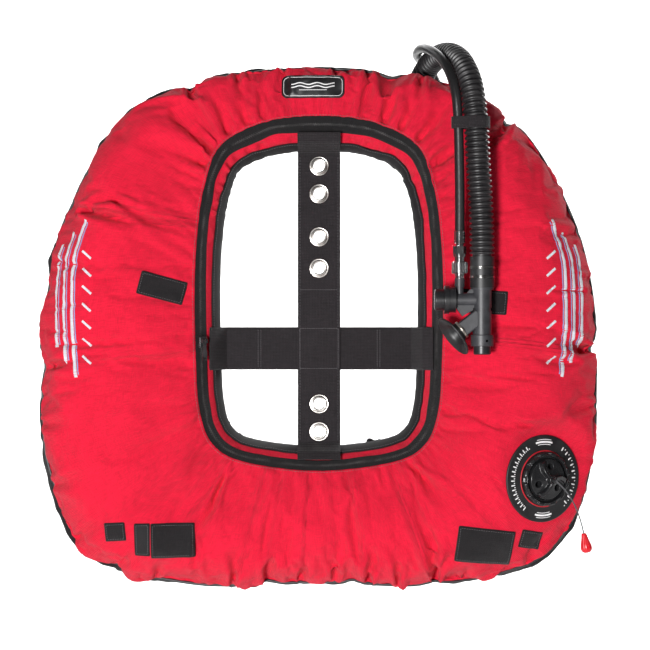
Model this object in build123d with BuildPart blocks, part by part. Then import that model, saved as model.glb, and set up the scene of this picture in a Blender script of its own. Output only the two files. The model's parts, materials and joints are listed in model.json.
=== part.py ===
from build123d import *
import os
from math import acos, cos, degrees, hypot, pi, radians, sin, tan

# Donut shaped buoyancy wing for twin cylinders, inflated and upright as worn.
# +X is the wearer's left, -Y the wearer's back (the front of the wing), +Z up.
# The origin is halfway between the two bolt holes of the 11 inch cylinder spacing.

os.makedirs("parts", exist_ok=True)

# ---------------------------------------------------------------- driving dimensions
BOLT_SPACING = 279.4      # 11 inch cylinder band spacing
SECOND_HOLE_STEP = 32.6   # from each main hole to the next hole of the same spacing
WEBBING_WIDTH = 50.0
WEBBING_THICKNESS = 2.0
COVER_THICKNESS = 1.6
CELL_GAP = 1.5            # from the covers' inner face to the gas cell
ZONE_GAP_DEG = 0.12       # left between neighbouring cover zones
SEAM_DEG = 8.0            # outer seam, in front of the ring's widest line
BINDING_WIDTH = 7.0       # of the opening's edge, seen from the front
CHAIN_HALF = 2.2          # half the width of the zip's chain
PIPING_HALF_DEG = 1.6
PATCH_LIFT, PATCH_THICKNESS = 2.6, 2.3
BACK_BINDING_DEG = 190.0  # where the binding ends on the back

EYELET_HOLE_R = 6.5
EYELET_BARREL_R = 7.2
EYELET_FLANGE_R = 11.75
WASHER_R = 10.75
WASHER_THICKNESS = 0.85

HOSE_R = 13.5
LP_HOSE_R = 5.5
PULL_CORD_R = 0.8
ARC_SHARE = 0.45          # of the shorter run that a route's arc may take

# Ring sections on the +X side, from the top to the bottom: inner edge x and z, outer
# edge x and z, half depth, then how far the zip tape's outer and inner edges lie from
# the opening's edge. Sections between them follow a smooth curve.
STATIONS = [
    (0, 191, 0, 287, 34, 37, 18),
    (50, 187, 85, 281, 36, 36, 18),
    (92, 170, 165, 262, 42, 32, 17),
    (106, 140, 240, 212, 50, 28, 15),
    (114, 95, 296, 115, 58, 26, 14),
    (117.5, 30, 321, 20, 62, 26, 13),
    (116, -60, 325, -90, 62, 26, 13),
    (113, -105, 318, -180, 64, 26, 13),
    (103, -135, 270, -280, 62, 26, 13),
    (75, -150, 150, -318, 56, 25, 13),
    (0, -158, 0, -317, 52, 25, 13),
]
SECTIONS_PER_SPAN = 3
MAX_DEPTH = 110.0         # deeper than any section's half depth


# ---------------------------------------------------------------- ring helpers
def mirrored(station):
    return (-station[0], station[1], -station[2], *station[3:])


def curve_value(p0, p1, p2, p3, t):
    """Catmull-Rom curve from p1 to p2."""
    slope_in, slope_out = (p2 - p0) / 2, (p3 - p1) / 2
    return (
        p1 * (1 - 3 * t**2 + 2 * t**3)
        + p2 * (3 * t**2 - 2 * t**3)
        + slope_in * (t - 2 * t**2 + t**3)
        + slope_out * (t**3 - t**2)
    )


def ring_sections():
    padded = [mirrored(STATIONS[1]), *STATIONS, mirrored(STATIONS[-2])]
    sections = []
    for four in zip(padded, padded[1:], padded[2:], padded[3:]):
        for step in range(SECTIONS_PER_SPAN):
            t = step / SECTIONS_PER_SPAN
            sections.append(tuple(curve_value(*values, t) for values in zip(*four)))
    return [*sections, STATIONS[-1]]


SECTIONS = ring_sections()


def half_width(station):
    ix, iz, ox, oz = station[:4]
    return hypot(ox - ix, oz - iz) / 2


def station_plane(station):
    """Section plane: x runs outwards from the opening, y towards the front."""
    ix, iz, ox, oz = station[:4]
    length = 2 * half_width(station)
    along_x, along_z = (ox - ix) / length, (oz - iz) / length
    return Plane(
        origin=((ix + ox) / 2, 0, (iz + oz) / 2),
        x_dir=(along_x, 0, along_z),
        z_dir=(along_z, 0, -along_x),
    )


def front_angle(station, distance):
    """Section angle of the front point that lies so far from the opening's edge."""
    a = half_width(station)
    return 180 - degrees(acos((a - distance) / a))


def ring_zone(start, end, outer=0.0, thickness=COVER_THICKNESS):
    """A skin over part of the section, all round the ring. start and end give the
    section angle at a station; outer is how far the skin's outer face stands out."""
    with BuildPart() as zone:
        for station in SECTIONS:
            a, b = half_width(station) + outer, station[4] + outer
            first = start(station) + ZONE_GAP_DEG
            sweep_deg = end(station) - ZONE_GAP_DEG - first
            with BuildSketch(station_plane(station)):
                with BuildLine():
                    big = EllipticalCenterArc((0, 0), a, b, first, arc_size=sweep_deg)
                    small = EllipticalCenterArc(
                        (0, 0), a - thickness, b - thickness, first, arc_size=sweep_deg
                    )
                    Line(big @ 0, small @ 0)
                    Line(big @ 1, small @ 1)
                make_face()
        loft(ruled=True)
        mirror(about=Plane.YZ)
    return zone.part


def seam(station):
    return SEAM_DEG


def tape_outer(station):
    return front_angle(station, station[5])


def tape_inner(station):
    return front_angle(station, station[6])


def binding_edge(station):
    return front_angle(station, BINDING_WIDTH)


def binding_back(station):
    return BACK_BINDING_DEG


def seam_from_below(station):
    return 360 + SEAM_DEG


def chain_outer(station):
    return front_angle(station, (station[5] + station[6]) / 2 + CHAIN_HALF)


def chain_inner(station):
    return front_angle(station, (station[5] + station[6]) / 2 - CHAIN_HALF)


def front_prism(x, z, width, height, angle=0.0, corner=3.0):
    """A rounded rectangular column along Y that cuts a patch out of a skin."""
    with BuildPart() as prism:
        with BuildSketch(Plane.XZ):
            with Locations(Location((x, z, 0), (0, 0, angle))):
                RectangleRounded(width, height, corner)
        extrude(amount=MAX_DEPTH)
    return prism.part


# ---------------------------------------------------------------- valve and elbow seats
VALVE_TILT = 28.0         # of the dump valve's axis away from -Y, towards +X
VALVE_DROP = 3.0          # of the same axis below level
VALVE_CENTRE = Vector(258, -50, -191)
VALVE_AXIS = Vector(
    sin(radians(VALVE_TILT)) * cos(radians(VALVE_DROP)),
    -cos(radians(VALVE_TILT)),
    -sin(radians(VALVE_TILT)) * sin(radians(VALVE_DROP)),
)
VALVE_PLANE = Plane(origin=VALVE_CENTRE, x_dir=(cos(radians(VALVE_TILT)), sin(radians(VALVE_TILT)), 0),
                    z_dir=VALVE_AXIS)
VALVE_BASE_R = 31.5
VALVE_POCKET_R = 32.5
VALVE_DEPTH = 15.0
VALVE_PATCH_R = 51.5

ELBOW_X, ELBOW_Z = 115.0, 182.0
ELBOW_SEAT_Y = 33.0
ELBOW_FLANGE_R = 24.0
ELBOW_PLANE = Plane(origin=(ELBOW_X, ELBOW_SEAT_Y, ELBOW_Z), x_dir=(1, 0, 0), z_dir=(0, 1, 0))

with BuildPart() as valve_pocket:
    with BuildSketch(VALVE_PLANE.offset(-VALVE_DEPTH - 1)):
        Circle(VALVE_POCKET_R)
    extrude(amount=MAX_DEPTH / 2)

with BuildPart() as elbow_pocket:
    with BuildSketch(ELBOW_PLANE.offset(-1)):
        Circle(ELBOW_FLANGE_R + 1)
    extrude(amount=MAX_DEPTH / 2)

# ---------------------------------------------------------------- gas cell and covers
with BuildPart() as inner_bladder:
    for station in SECTIONS:
        inset = COVER_THICKNESS + CELL_GAP
        a, b = half_width(station) - inset, station[4] - inset
        with BuildSketch(station_plane(station)):
            with BuildLine():
                for quarter in (0, 90, 180, 270):
                    EllipticalCenterArc((0, 0), a, b, quarter, arc_size=90)
            make_face()
    loft(ruled=True)
    mirror(about=Plane.YZ)
    add(valve_pocket.part, mode=Mode.SUBTRACT)
    add(elbow_pocket.part, mode=Mode.SUBTRACT)


def piping_start(station):
    return SEAM_DEG - PIPING_HALF_DEG


def piping_end(station):
    return SEAM_DEG + PIPING_HALF_DEG


front_skin = ring_zone(seam, tape_outer)
back_skin = ring_zone(binding_back, seam_from_below)
tape_skin = ring_zone(tape_outer, tape_inner)
gusset_skin = ring_zone(tape_inner, binding_edge)
binding_skin = ring_zone(binding_edge, binding_back)
chain_skin = ring_zone(chain_outer, chain_inner, outer=1.6, thickness=1.4)
piping_skin = ring_zone(piping_start, piping_end, outer=2.2, thickness=1.8)

with BuildPart() as front_cover:
    add(front_skin)
    add(valve_pocket.part, mode=Mode.SUBTRACT)

with BuildPart() as back_cover:
    add(back_skin)
    add(elbow_pocket.part, mode=Mode.SUBTRACT)

with BuildPart() as zip_tape:
    add(tape_skin)

with BuildPart() as gusset_strip:
    add(gusset_skin)

with BuildPart() as edge_binding:
    add(binding_skin)

with BuildPart() as zip_teeth:
    add(chain_skin)

with BuildPart() as seam_piping:
    add(piping_skin)

# ---------------------------------------------------------------- patches on the front
def patch_start(station):
    return 2.0


patch_skin = ring_zone(patch_start, tape_outer, outer=PATCH_LIFT, thickness=PATCH_THICKNESS)

# name: x, z, width, height, turn, corner radius
PATCHES = {
    "name_patch": (-7, 262, 73, 27, 0, 7),
    "left_keeper_strap": (-180, 28, 53, 27, -15, 1.5),
    "right_keeper_strap": (188, 12, 53, 27, -4, 1.5),
    "left_flap": (-167, -261, 50, 40, 1, 1.5),
    "left_flap_elastic": (-202, -260, 18, 38, 0, 1.5),
    "right_flap": (190, -268, 66, 42, -7, 1.5),
    "left_loop": (-233, -251, 24, 22, 4, 1.5),
    "right_loop": (244, -262, 26, 22, -12, 1.5),
}
patch_prisms = {name: front_prism(*shape) for name, shape in PATCHES.items()}
patches = {}
for name, prism in patch_prisms.items():
    with BuildPart() as patch:
        add(patch_skin)
        add(prism, mode=Mode.INTERSECT)
    patches[name] = patch

with BuildPart() as valve_patch:
    add(patch_skin)
    with BuildSketch(VALVE_PLANE):
        Circle(VALVE_PATCH_R)
        Circle(VALVE_POCKET_R, mode=Mode.SUBTRACT)
    extrude(amount=MAX_DEPTH / 3, both=True, mode=Mode.INTERSECT)
    add(patch_prisms["right_flap"], mode=Mode.SUBTRACT)
    add(patch_prisms["right_loop"], mode=Mode.SUBTRACT)

# ---------------------------------------------------------------- webbing and eyelets
MAIN_HOLE_Z = BOLT_SPACING / 2
SECOND_TOP_Z = MAIN_HOLE_Z + SECOND_HOLE_STEP
SECOND_BOTTOM_Z = SECOND_HOLE_STEP - MAIN_HOLE_Z
UPPER_PAIR_Z = (89.1, 52.3)
HOLE_HEIGHTS = [SECOND_TOP_Z, MAIN_HOLE_Z, *UPPER_PAIR_Z, SECOND_BOTTOM_Z, -MAIN_HOLE_Z]
CROSS_STRAP_Z = -42.0

# The upright strap rises over the gusset at both ends.
UPRIGHT_PATH = [(-35.5, 208.5), (-28.5, 199.2), (-1, 186.6), (-1, -153.2), (-26, -162.4), (-33.5, -170)]
CROSS_PATH = [(-126.5, -30), (-121, -24), (-109, 1.15), (109, 1.15), (121, -24), (126.5, -30)]
WEBBING_BEND_R = 2.0

with BuildPart() as vertical_webbing:
    with BuildSketch(Plane.YZ.offset(-WEBBING_WIDTH / 2)):
        with BuildLine():
            FilletPolyline(*UPRIGHT_PATH, radius=WEBBING_BEND_R)
        trace(line_width=WEBBING_THICKNESS)
    extrude(amount=WEBBING_WIDTH)
    with BuildSketch(Plane.XZ):
        with Locations(*[(0, z) for z in HOLE_HEIGHTS]):
            Circle(EYELET_BARREL_R + 0.1)
    extrude(amount=2 * WEBBING_THICKNESS, both=True, mode=Mode.SUBTRACT)

with BuildPart() as horizontal_webbing:
    with BuildSketch(Plane.XY.offset(CROSS_STRAP_Z - WEBBING_WIDTH / 2)):
        with BuildLine():
            FilletPolyline(*CROSS_PATH, radius=WEBBING_BEND_R)
        trace(line_width=WEBBING_THICKNESS)
    extrude(amount=WEBBING_WIDTH)

with BuildPart() as grommet_eyelets:
    for hole_z in HOLE_HEIGHTS:
        with BuildSketch(Plane.XY.offset(hole_z)):
            with BuildLine():
                Polyline(
                    (EYELET_HOLE_R, 1.2), (EYELET_HOLE_R, -2.4), (EYELET_HOLE_R + 1.2, -3.5),
                    (EYELET_FLANGE_R - 1.2, -3.1), (EYELET_FLANGE_R, -2.05),
                    (EYELET_BARREL_R, -2.05), (EYELET_BARREL_R, 1.2), close=True,
                )
            make_face()
        revolve(axis=Axis((0, 0, hole_z), (0, 1, 0)))

with BuildPart() as grommet_washers:
    with BuildSketch(Plane.XZ.offset(-0.9)):
        with Locations(*[(0, z) for z in HOLE_HEIGHTS]):
            Circle(WASHER_R)
        with Locations(*[(0, z) for z in HOLE_HEIGHTS]):
            Circle(EYELET_BARREL_R + 0.05, mode=Mode.SUBTRACT)
    extrude(amount=WASHER_THICKNESS)

# ---------------------------------------------------------------- zip slider
ZIP_X, ZIP_Y, ZIP_Z = -136.5, -36.2, -34.0
ZIP_TILT = 39.8           # of the slider's outward normal from -Y towards +X
ZIP_NORMAL = (sin(radians(ZIP_TILT)), -cos(radians(ZIP_TILT)), 0)
ZIP_PLANE = Plane(origin=(ZIP_X, ZIP_Y, ZIP_Z), x_dir=(cos(radians(ZIP_TILT)), sin(radians(ZIP_TILT)), 0),
                  z_dir=ZIP_NORMAL)
SLIDER_WIDTH, SLIDER_LENGTH, SLIDER_BOTTOM, SLIDER_TOP = 10.0, 13.0, 0.8, 5.0
CHANNEL_WIDTH, CHANNEL_TOP = 7.4, 3.0
POST_GAP = 3.1            # from the middle to each post that holds the pin
PULL_PIN_HEIGHT, PULL_PIN_R, PULL_EYE_R = 7.4, 0.8, 2.0
PULL_PIN_OFFSET = 1.0     # from the slider's middle, up the chain
PULL_THICKNESS, PULL_EYE_WIDTH = 1.4, 3.8


def pin_plane(start):
    """Across the slider, through the pin's height."""
    centre = ZIP_PLANE.from_local_coords((start, PULL_PIN_OFFSET, PULL_PIN_HEIGHT))
    return Plane(origin=centre, z_dir=ZIP_PLANE.x_dir)


with BuildPart() as zip_slider:
    with BuildSketch(ZIP_PLANE.offset(SLIDER_BOTTOM)):
        RectangleRounded(SLIDER_WIDTH, SLIDER_LENGTH, 2)
    extrude(amount=SLIDER_TOP - SLIDER_BOTTOM)
    fillet(zip_slider.faces().sort_by(Axis((ZIP_X, ZIP_Y, ZIP_Z), ZIP_NORMAL))[-1].edges(), 1)
    with BuildSketch(ZIP_PLANE):
        Rectangle(CHANNEL_WIDTH, SLIDER_LENGTH + 2)
    extrude(amount=CHANNEL_TOP, mode=Mode.SUBTRACT)
    with BuildSketch(ZIP_PLANE.offset(SLIDER_TOP - 0.5)):
        with Locations((-POST_GAP, PULL_PIN_OFFSET), (POST_GAP, PULL_PIN_OFFSET)):
            Rectangle(1.2, 5)
    extrude(amount=4)
    with BuildSketch(pin_plane(-POST_GAP - 0.5)):
        Circle(PULL_PIN_R)
    extrude(amount=2 * POST_GAP + 1)

with BuildPart() as zip_pull:
    with BuildSketch(ZIP_PLANE.offset(PULL_PIN_HEIGHT - PULL_THICKNESS / 2)):
        with BuildLine():
            Polyline((-1.9, -0.6), (-1.9, -8), (-3, -12), (-3, -22), (3, -22), (3, -12),
                     (1.9, -8), (1.9, -0.6), close=True)
        make_face()
        with Locations((0, -19)):
            SlotOverall(3.6, 1.6, mode=Mode.SUBTRACT)
    extrude(amount=PULL_THICKNESS)
    with BuildSketch(pin_plane(-PULL_EYE_WIDTH / 2)):
        Circle(PULL_EYE_R)
    extrude(amount=PULL_EYE_WIDTH)
    with BuildSketch(pin_plane(-PULL_EYE_WIDTH)):
        Circle(PULL_PIN_R + 0.25)
    extrude(amount=2 * PULL_EYE_WIDTH, mode=Mode.SUBTRACT)

# ---------------------------------------------------------------- dump valve
SEAT_R = 12.0
BASE_FLOOR = 3.0
BASE_BORE_R = 27.0
BASE_WALL_TOP = 2.0
CAP_R = 31.0
CAP_SKIRT_R, CAP_BORE_R = 26.6, 24.6
CAP_SKIRT_BOTTOM, CAP_RIM_BOTTOM, CAP_RIM_TOP = -4.0, 2.2, 9.0
CAP_CROWN_R, CAP_CROWN = 26.0, 2.4
CAP_TOP = 21.0
HUB_R = 5.5
FIN_COUNT = 3
FIN_THICKNESS = 4.4
FIRST_FIN_DEG = 90.0
VENT_RADIUS, VENT_R = 15.5, 3.4
NOTCH_COUNT = 12
NOTCH_WIDTH, NOTCH_DEPTH = 6.0, 3.0
STEM_R = 1.6
DISC_BOTTOM = BASE_FLOOR - VALVE_DEPTH + 0.1
DISC_THICKNESS = 2.0
STEM_HEAD_R = 2.6

with BuildPart() as valve_base:
    with BuildSketch(VALVE_PLANE.offset(-VALVE_DEPTH)):
        Circle(VALVE_BASE_R)
        Circle(SEAT_R, mode=Mode.SUBTRACT)
    extrude(amount=BASE_FLOOR)
    with BuildSketch(VALVE_PLANE.offset(BASE_FLOOR - VALVE_DEPTH)):
        Circle(VALVE_BASE_R)
        Circle(BASE_BORE_R, mode=Mode.SUBTRACT)
    extrude(amount=VALVE_DEPTH + BASE_WALL_TOP - BASE_FLOOR)

with BuildPart() as valve_cap:
    with BuildSketch(VALVE_PLANE.offset(CAP_SKIRT_BOTTOM)):
        Circle(CAP_SKIRT_R)
        Circle(CAP_BORE_R, mode=Mode.SUBTRACT)
    extrude(amount=CAP_RIM_TOP - CAP_SKIRT_BOTTOM - 1)
    with BuildSketch(VALVE_PLANE.offset(CAP_RIM_BOTTOM)):
        Circle(CAP_R)
        Circle(CAP_BORE_R, mode=Mode.SUBTRACT)
    extrude(amount=CAP_RIM_TOP - CAP_RIM_BOTTOM)
    with BuildSketch(VALVE_PLANE.offset(CAP_RIM_TOP)):
        Circle(CAP_CROWN_R)
    extrude(amount=CAP_CROWN, taper=20)
    with BuildSketch(VALVE_PLANE.offset(CAP_RIM_BOTTOM + 0.8)):
        with PolarLocations(CAP_R + 0.6, NOTCH_COUNT):
            Rectangle(NOTCH_DEPTH, NOTCH_WIDTH)
    extrude(amount=CAP_RIM_TOP, mode=Mode.SUBTRACT)
    for index in range(FIN_COUNT):
        turn = radians(FIRST_FIN_DEG + index * 360 / FIN_COUNT)
        radial = VALVE_PLANE.x_dir * cos(turn) + VALVE_PLANE.y_dir * sin(turn)
        with BuildSketch(Plane(origin=VALVE_CENTRE, x_dir=radial, z_dir=radial.cross(VALVE_AXIS))):
            with BuildLine():
                Polyline((3, 11), (24, 11), (21, 13.5), (5, CAP_TOP), (3, CAP_TOP), close=True)
            make_face()
        extrude(amount=FIN_THICKNESS / 2, both=True)
    with BuildSketch(VALVE_PLANE.offset(CAP_RIM_TOP + 2)):
        Circle(HUB_R)
    extrude(amount=CAP_TOP - CAP_RIM_TOP - 2, taper=6)
    with BuildSketch(VALVE_PLANE.offset(CAP_RIM_TOP - 1)):
        with PolarLocations(VENT_RADIUS, FIN_COUNT, start_angle=30):
            Circle(VENT_R)
        Circle(STEM_R + 0.4)
    extrude(amount=CAP_TOP - CAP_RIM_TOP + 4, mode=Mode.SUBTRACT)

with BuildPart() as valve_disc:
    with BuildSketch(VALVE_PLANE.offset(DISC_BOTTOM)):
        Circle(SEAT_R + 4)
    extrude(amount=DISC_THICKNESS)
    with BuildSketch(VALVE_PLANE.offset(DISC_BOTTOM + 1)):
        Circle(STEM_R)
    extrude(amount=CAP_TOP - DISC_BOTTOM)
    with BuildSketch(VALVE_PLANE.offset(CAP_TOP + 0.6)):
        Circle(STEM_HEAD_R)
    extrude(amount=2.4, taper=25)

with BuildPart() as valve_spring:
    with BuildLine() as valve_coil:
        Helix(pitch=3.4, height=13.6, radius=9, direction=VALVE_AXIS,
              center=VALVE_CENTRE + VALVE_AXIS * (DISC_BOTTOM + DISC_THICKNESS + 1.1))
    with BuildSketch(Plane(origin=valve_coil.line @ 0, z_dir=valve_coil.line % 0)):
        Circle(0.6)
    sweep(is_frenet=True)

# ---------------------------------------------------------------- routes
CORD_START_HEIGHT = CAP_TOP + 3.6
PULL_CORD_ROUTE = [
    tuple(VALVE_PLANE.from_local_coords((0, 0, CORD_START_HEIGHT))),
    (277.5, -77.5, -199),
    (287, -79, -212),
    (294, -77.5, -227),
    (298.5, -75.5, -240.5),
    (301, -74, -251),
]
HOSE_ROUTE = [
    (115, 76.5, 206),
    (115, 76.5, 231),
    (117, 62, 273),
    (136, 20, 304),
    (158.5, -33, 301),
    (172.5, -77, 265),
    (177.5, -90, 216),
    (179.5, -90.5, 174),
    (182, -89, 134),
    (184.5, -87, 97),
    (184.5, -87, 63),
]
LP_HOSE_ROUTE = [
    (159.2, -87, 92),
    (159.4, -87.5, 130),
    (158.6, -89, 172),
    (157.6, -90, 214),
    (154.7, -84.3, 256),
    (142.4, -54, 291.8),
    (122.4, -8, 312.8),
    (114, 42, 308.8),
    (131, 82, 304),
    (147, 107, 281),
    (156, 114, 241),
    (164, 108, 198),
    (174, 96, 157),
    (184, 83, 115),
    (190, 74, 71),
    (193, 71, 26),
    (194.5, 72, -18),
]


def corner_radii(route):
    """Each arc takes the same share of its shorter run."""
    points = [Vector(*p) for p in route]
    radii = []
    for before, here, after in zip(points, points[1:], points[2:]):
        first, second = here - before, after - here
        turn = first.get_angle(second)
        radii.append(ARC_SHARE * min(first.length, second.length) / tan(radians(turn / 2)))
    return radii


def cord_tube(name, route, radius):
    """A solid tube of straight runs and tangent arcs along a route."""
    radii = corner_radii(route)
    with BuildPart() as tube:
        with BuildLine() as path:
            FilletPolyline(*route, radius=radii)
        with BuildSketch(Plane(origin=path.line @ 0, z_dir=path.line % 0)):
            Circle(radius)
        sweep()
    section = pi * radius * radius
    length = path.wires()[0].length
    share = tube.part.volume / (section * length)
    rounded = [round(r) for r in radii]
    print(f"{name}: length {length:.0f} mm, arc radii {rounded}, volume share {share:.4f}")
    return tube.part


hose_tube = cord_tube("corrugated_hose", HOSE_ROUTE, HOSE_R)
lp_hose_tube = cord_tube("lp_hose", LP_HOSE_ROUTE, LP_HOSE_R)
pull_cord_tube = cord_tube("pull_cord", PULL_CORD_ROUTE, PULL_CORD_R)

with BuildPart() as corrugated_hose:
    add(hose_tube)

with BuildPart() as lp_hose:
    add(lp_hose_tube)

with BuildPart() as pull_cord:
    add(pull_cord_tube)

KNOB_AXIS = Vector(4.2, 0.5, -22.6).normalized()
KNOB_LENGTH = 23.0
with BuildPart() as pull_knob:
    knob_plane = Plane(origin=PULL_CORD_ROUTE[-1], z_dir=KNOB_AXIS)
    profile_plane = Plane(origin=PULL_CORD_ROUTE[-1], x_dir=knob_plane.x_dir,
                          z_dir=knob_plane.x_dir.cross(KNOB_AXIS))
    with BuildSketch(profile_plane):
        with BuildLine():
            knob_side = Spline((3.0, 0.05), (4.2, 6), (6.6, 15), (6.4, 20), (3.4, KNOB_LENGTH))
            Polyline(knob_side @ 1, (0, KNOB_LENGTH), (0, 0.05), knob_side @ 0)
        make_face()
    revolve(axis=Axis(PULL_CORD_ROUTE[-1], KNOB_AXIS))

# ---------------------------------------------------------------- elbow
ELBOW_TUBE_R = 13.0
ELBOW_BORE_R = 7.5
ELBOW_NECK_R = 9.5
ELBOW_FOOT_R, ELBOW_FOOT = 15.8, 10.2
HOSE_BACK_Y = 76.5        # the hose's back leg stands this far behind the straps
FLANGE_THICKNESS = 3.5
FLANGE_COLLAR_R, FLANGE_COLLAR_BORE_R, FLANGE_COLLAR = 19.0, 16.2, 11.0
FLANGE_BOLT_CIRCLE_R, FLANGE_DIMPLE_R = 21.5, 1.3
NUT_HEX_R, NUT_START, NUT_SKIRT = 24.0, 9.0, 7.0
NUT_LIP_R, NUT_LIP = 22.6, 2.6

with BuildPart() as elbow_flange:
    with BuildSketch(ELBOW_PLANE):
        Circle(ELBOW_FLANGE_R)
        Circle(ELBOW_NECK_R, mode=Mode.SUBTRACT)
    extrude(amount=FLANGE_THICKNESS)
    with BuildSketch(ELBOW_PLANE.offset(FLANGE_THICKNESS)):
        Circle(FLANGE_COLLAR_R)
        Circle(FLANGE_COLLAR_BORE_R, mode=Mode.SUBTRACT)
    extrude(amount=FLANGE_COLLAR)
    with BuildSketch(ELBOW_PLANE.offset(FLANGE_THICKNESS)):
        with PolarLocations(FLANGE_BOLT_CIRCLE_R, 8):
            Circle(FLANGE_DIMPLE_R)
    extrude(amount=-1.2, mode=Mode.SUBTRACT)

with BuildPart() as elbow_nut:
    with BuildSketch(ELBOW_PLANE.offset(NUT_START)):
        RegularPolygon(NUT_HEX_R, 12)
        Circle(FLANGE_COLLAR_R + 0.1, mode=Mode.SUBTRACT)
    extrude(amount=NUT_SKIRT)
    with BuildSketch(ELBOW_PLANE.offset(NUT_START + NUT_SKIRT)):
        Circle(NUT_LIP_R)
        Circle(ELBOW_TUBE_R + 0.5, mode=Mode.SUBTRACT)
    extrude(amount=NUT_LIP)

UPRIGHT_PLANE = Plane(origin=(ELBOW_X, HOSE_BACK_Y, ELBOW_Z), x_dir=(1, 0, 0), z_dir=(0, 0, 1))
SHOULDER_HEIGHT, NECK_HEIGHT = 13.4, 23.9
with BuildPart() as elbow:
    with BuildSketch(ELBOW_PLANE.offset(4)):
        Circle(ELBOW_FOOT_R)
    extrude(amount=ELBOW_FOOT)
    with BuildSketch(ELBOW_PLANE.offset(14)):
        Circle(ELBOW_TUBE_R)
    extrude(amount=HOSE_BACK_Y - ELBOW_SEAT_Y - 14)
    with BuildSketch(UPRIGHT_PLANE):
        Circle(ELBOW_TUBE_R)
    extrude(amount=SHOULDER_HEIGHT)
    with Locations((ELBOW_X, HOSE_BACK_Y, ELBOW_Z)):
        Sphere(ELBOW_TUBE_R)
    with BuildSketch(UPRIGHT_PLANE):
        Circle(ELBOW_NECK_R)
    extrude(amount=NECK_HEIGHT)
    with BuildSketch(UPRIGHT_PLANE):
        Circle(ELBOW_BORE_R)
    extrude(amount=NECK_HEIGHT + 1, mode=Mode.SUBTRACT)
    with BuildSketch(ELBOW_PLANE.offset(3)):
        Circle(ELBOW_BORE_R)
    extrude(amount=HOSE_BACK_Y - ELBOW_SEAT_Y - 3, mode=Mode.SUBTRACT)

CUFF_R = 15.0
with BuildPart() as upper_cuff:
    with BuildSketch(UPRIGHT_PLANE.offset(SHOULDER_HEIGHT + 0.1)):
        Circle(CUFF_R)
        Circle(ELBOW_NECK_R + 0.05, mode=Mode.SUBTRACT)
    extrude(amount=10.4)
    fillet(upper_cuff.edges().filter_by(GeomType.CIRCLE).sort_by(Axis.Z)[-1:], 0.6)

# ---------------------------------------------------------------- inflator
COLUMN_X, COLUMN_Y = 184.5, -87.0
COLUMN_R = 10.6
COLUMN_BORE_R = 7.5
COLUMN_BOTTOM, COLUMN_TOP = -25.5, 27.5
NECK_R = 9.6
ARM_Z, ARM_R = 14.0, 8.0
ARM_END_X = 154.5
HOUSING_END_X = 141.5
ORAL_Z = -1.9
ORAL_AXIS = Vector(-0.79, 0, -0.613).normalized()
ORAL_PLANE = Plane(origin=(COLUMN_X, COLUMN_Y, ORAL_Z), x_dir=(0, 1, 0), z_dir=ORAL_AXIS)
NIPPLE_X = 159.2
COLUMN_PLANE = Plane(origin=(COLUMN_X, COLUMN_Y, 0), x_dir=(1, 0, 0), z_dir=(0, 0, 1))
NIPPLE_PLANE = Plane(origin=(NIPPLE_X, COLUMN_Y, 0), x_dir=(1, 0, 0), z_dir=(0, 0, 1))
ARM_PLANE = Plane(origin=(0, COLUMN_Y, ARM_Z), x_dir=(0, 1, 0), z_dir=(1, 0, 0))

with BuildPart() as inflator_body:
    with BuildSketch(COLUMN_PLANE.offset(COLUMN_BOTTOM)):
        Circle(COLUMN_R)
    extrude(amount=COLUMN_TOP - COLUMN_BOTTOM)
    with BuildSketch(COLUMN_PLANE.offset(COLUMN_TOP - 2)):
        Circle(COLUMN_R + 2.2)
    extrude(amount=2)
    with BuildSketch(COLUMN_PLANE.offset(COLUMN_TOP)):
        Circle(NECK_R)
    extrude(amount=22)
    with BuildSketch(ARM_PLANE.offset(ARM_END_X)):
        Circle(ARM_R)
    extrude(amount=COLUMN_X - ARM_END_X)
    with BuildSketch(Plane.XZ.offset(-COLUMN_Y - 5)):
        with BuildLine():
            Polyline((155, 9), (177, 9), (174, 2.5), (162, -4.5), (155, 4.5), close=True)
        make_face()
    extrude(amount=10)
    with BuildSketch(Plane.XZ.offset(-COLUMN_Y - 3)):
        with BuildLine():
            Polyline((164, 18), (176, 18), (176, 26), (171, 26), close=True)
        make_face()
    extrude(amount=6)
    with BuildSketch(NIPPLE_PLANE.offset(ARM_Z + 4)):
        Circle(4.5)
    extrude(amount=12)
    with BuildSketch(NIPPLE_PLANE.offset(ARM_Z + 15)):
        Circle(5.6)
    extrude(amount=9)
    with BuildSketch(COLUMN_PLANE.offset(1.5)):
        Circle(COLUMN_R + 1)
        Circle(COLUMN_R - 0.9, mode=Mode.SUBTRACT)
    extrude(amount=3.4, mode=Mode.SUBTRACT)
    with BuildSketch(COLUMN_PLANE.offset(COLUMN_BOTTOM - 1)):
        Circle(COLUMN_BORE_R)
    extrude(amount=80, mode=Mode.SUBTRACT)
    with BuildSketch(ARM_PLANE.offset(ARM_END_X - 1)):
        Circle(4.5)
    extrude(amount=COLUMN_X - ARM_END_X, mode=Mode.SUBTRACT)
    with BuildSketch(NIPPLE_PLANE.offset(ARM_Z + 10)):
        Circle(3.1)
    extrude(amount=20, mode=Mode.SUBTRACT)

with BuildPart() as lower_cuff:
    with BuildSketch(COLUMN_PLANE.offset(COLUMN_TOP + 0.1)):
        Circle(13.8)
        Circle(NECK_R + 0.05, mode=Mode.SUBTRACT)
    extrude(amount=35.2)
    with BuildSketch(COLUMN_PLANE.offset(38)):
        Circle(15)
        Circle(13.2, mode=Mode.SUBTRACT)
    extrude(amount=3.6, mode=Mode.SUBTRACT)
    with BuildSketch(COLUMN_PLANE.offset(48.5)):
        Circle(15)
        Circle(13.2, mode=Mode.SUBTRACT)
    extrude(amount=3.6, mode=Mode.SUBTRACT)

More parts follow.
